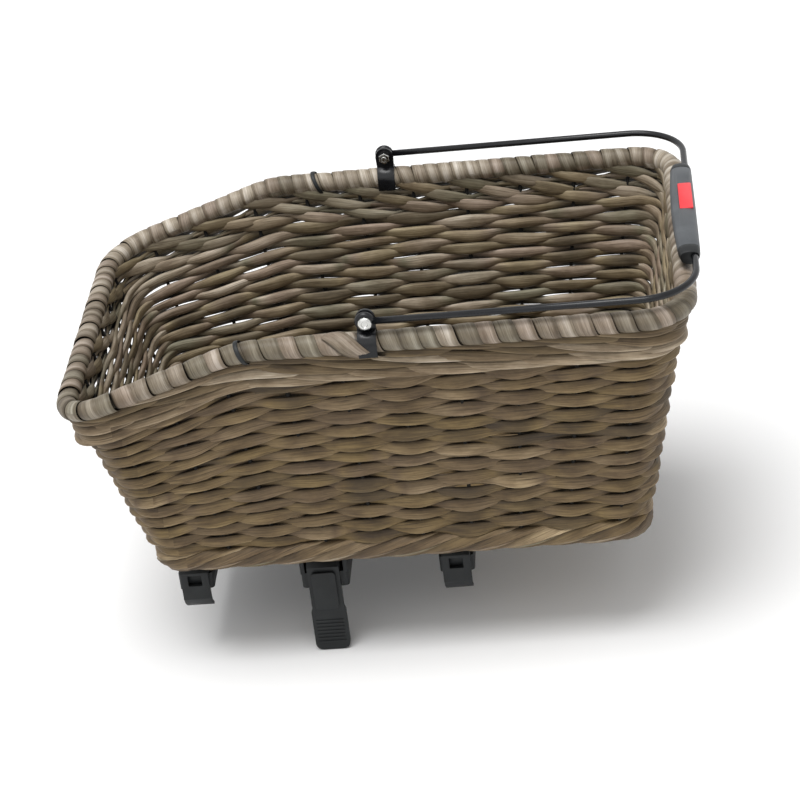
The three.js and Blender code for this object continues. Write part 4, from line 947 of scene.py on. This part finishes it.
handle = finish_mesh(gather(handle_parts()), "handle_bow", black_steel, "handle")
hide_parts("handle_wire")


# Pieces that keep their CAD form, with their sharp edges rounded off.

WELD = 1e-6                     # in metres, as the nodes' meshes are
FLAT_ANGLE = 1                  # degrees up to which facets are merged into one
SHARP_ANGLE = 28                # degrees from which an edge is rounded
EDGE_SEGMENTS = 2


def dress(node, material, edge, body="basket"):
    """A merged copy of a node's loose triangles, with its edges rounded by a radius in millimetres."""
    bm = bmesh.new()
    bm.from_mesh(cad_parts[node].data)
    bmesh.ops.remove_doubles(bm, verts=bm.verts, dist=WELD)
    bmesh.ops.dissolve_limit(bm, angle_limit=math.radians(FLAT_ANGLE), verts=bm.verts, edges=bm.edges)
    piece = place_piece(bm, node + "_dressed", material, body)
    bevel = piece.modifiers.new("rounded edges", "BEVEL")
    bevel.width = edge * MM
    bevel.segments = EDGE_SEGMENTS
    bevel.limit_method = "ANGLE"
    bevel.angle_limit = math.radians(SHARP_ANGLE)
    bevel.harden_normals = True
    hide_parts(node)


for side in ("near", "far"):
    dress(f"{side}_pivot_bracket", black_steel, 0.2)
    dress(f"{side}_pivot_screw", zinc, 0.3)
    dress(f"{side}_pivot_nut", zinc, 0.3)
    dress(f"{side}_pivot_washer", nylon, 0.1)
    dress(f"{side}_grip_cap", nylon, 0.3, "handle")
    jaw = "jaw" if side == "near" else "basket"
    dress(f"{side}_jaw", nylon, 0.4, jaw)
    for end in ("front", "rear"):
        dress(f"{side}_{end}_hook_liner", rubber, 0.2, jaw)
for number in range(1, 5):
    dress(f"clamp_screw_{number}", zinc, 0.3)
    dress(f"rack_pad_{number}", rubber, 0.3)
for number in (1, 2):
    dress(f"far_jaw_screw_{number}", zinc, 0.3)
dress("grip_body", grip_plastic, 0.5, "handle")
dress("grip_inlay", red_plastic, 0.3, "handle")
dress("clamp_base", nylon, 0.5)
dress("inner_plate", nylon, 0.5)
dress("release_lever", nylon, 0.5, "lever")
dress("lever_panel", nylon, 0.5, "lever")
dress("lever_pin", zinc, 0.3)
dress("lever_spring", spring_steel, 0.05)


# Floor, backdrop, light and camera.

SKY_LEVEL = 0.4
# Name, direction that the light comes from, its spread in degrees, and its strength.
SUNS = [("overhead softbox", (-0.15, -0.2, 1), 36, 2.3), ("front fill", (-0.3, -0.8, 1), 80, 0.8)]
PAPER_HALF = 8                  # in metres, so that its edge is out of every view
PAPER_GAP = 0.0005              # in metres, under the part's lowest point
PAPER_COLOUR = "#fafafa"
PAPER_ROUGHNESS = 0.95
WHITE = (1, 1, 1, 1)


def seen_white(tree, soft, output):
    """White where the camera, a reflection or clear plastic shows it, the soft light otherwise."""
    path = add(tree, "ShaderNodeLightPath")
    seen = path.outputs["Is Camera Ray"]
    for ray in ("Is Glossy Ray", "Is Transmission Ray"):
        seen = add(tree, "ShaderNodeMath", {"operation": "MAXIMUM"}, _0=seen,
                   _1=path.outputs[ray]).outputs[0]
    white = add(tree, "ShaderNodeBackground", {"Color": WHITE})
    mix = add(tree, "ShaderNodeMixShader", _0=seen, _1=soft, _2=white.outputs[0])
    tree.links.new(mix.outputs[0], output.inputs["Surface"])


def studio_paper():
    """Matt white paper: no glint, and only the soft shadow to be seen."""
    bm = bmesh.new()
    bmesh.ops.create_grid(bm, x_segments=1, y_segments=1, size=PAPER_HALF)
    mesh = bpy.data.meshes.new("studio_floor")
    bm.to_mesh(mesh)
    bm.free()
    ground = bpy.data.objects.new("studio_floor", mesh)
    ground.location.z = cad_box[0][2] - PAPER_GAP
    material, _, shader = new_material("Paper, white")
    shader.inputs["Base Color"].default_value = linear(PAPER_COLOUR)
    shader.inputs["Roughness"].default_value = PAPER_ROUGHNESS
    shader.inputs["Specular IOR Level"].default_value = 0
    mesh.materials.append(material)
    bpy.context.scene.collection.objects.link(ground)


def studio_light():
    world = bpy.data.worlds.new("studio")
    world.use_nodes = True
    tree = world.node_tree
    output = next(node for node in tree.nodes if node.type == "OUTPUT_WORLD")
    soft = tree.nodes["Background"]
    soft.inputs["Color"].default_value = WHITE
    soft.inputs["Strength"].default_value = SKY_LEVEL
    seen_white(tree, soft.outputs[0], output)
    bpy.context.scene.world = world
    for name, direction, spread, strength in SUNS:
        lamp = bpy.data.lights.new(name, "SUN")
        lamp.angle = math.radians(spread)
        lamp.energy = strength
        holder = bpy.data.objects.new(name, lamp)
        holder.rotation_euler = (-Vector(direction)).to_track_quat("-Z", "Y").to_euler()
        bpy.context.scene.collection.objects.link(holder)


studio_paper()
studio_light()

# The photograph's view, worked out from its lines: place and aim, lens in millimetres, roll in degrees.
CAMERA_PLACE = Vector((233.3, -1665.6, 1018.1)) * MM
CAMERA_AIM = Vector((58, 0, 96)) * MM
CAMERA_LENS = 124
CAMERA_ROLL = -7.2

camera = bpy.data.cameras.new("camera")
camera.lens = CAMERA_LENS
holder = bpy.data.objects.new("camera", camera)
turn = (CAMERA_AIM - CAMERA_PLACE).to_track_quat("-Z", "Y").to_matrix().to_4x4()
holder.matrix_world = Matrix.Translation(CAMERA_PLACE) @ turn @ Matrix.Rotation(
    math.radians(CAMERA_ROLL), 4, "Z")
bpy.context.scene.collection.objects.link(holder)
bpy.context.scene.camera = holder

bpy.context.scene.view_settings.view_transform = "Standard"

bpy.context.view_layer.update()
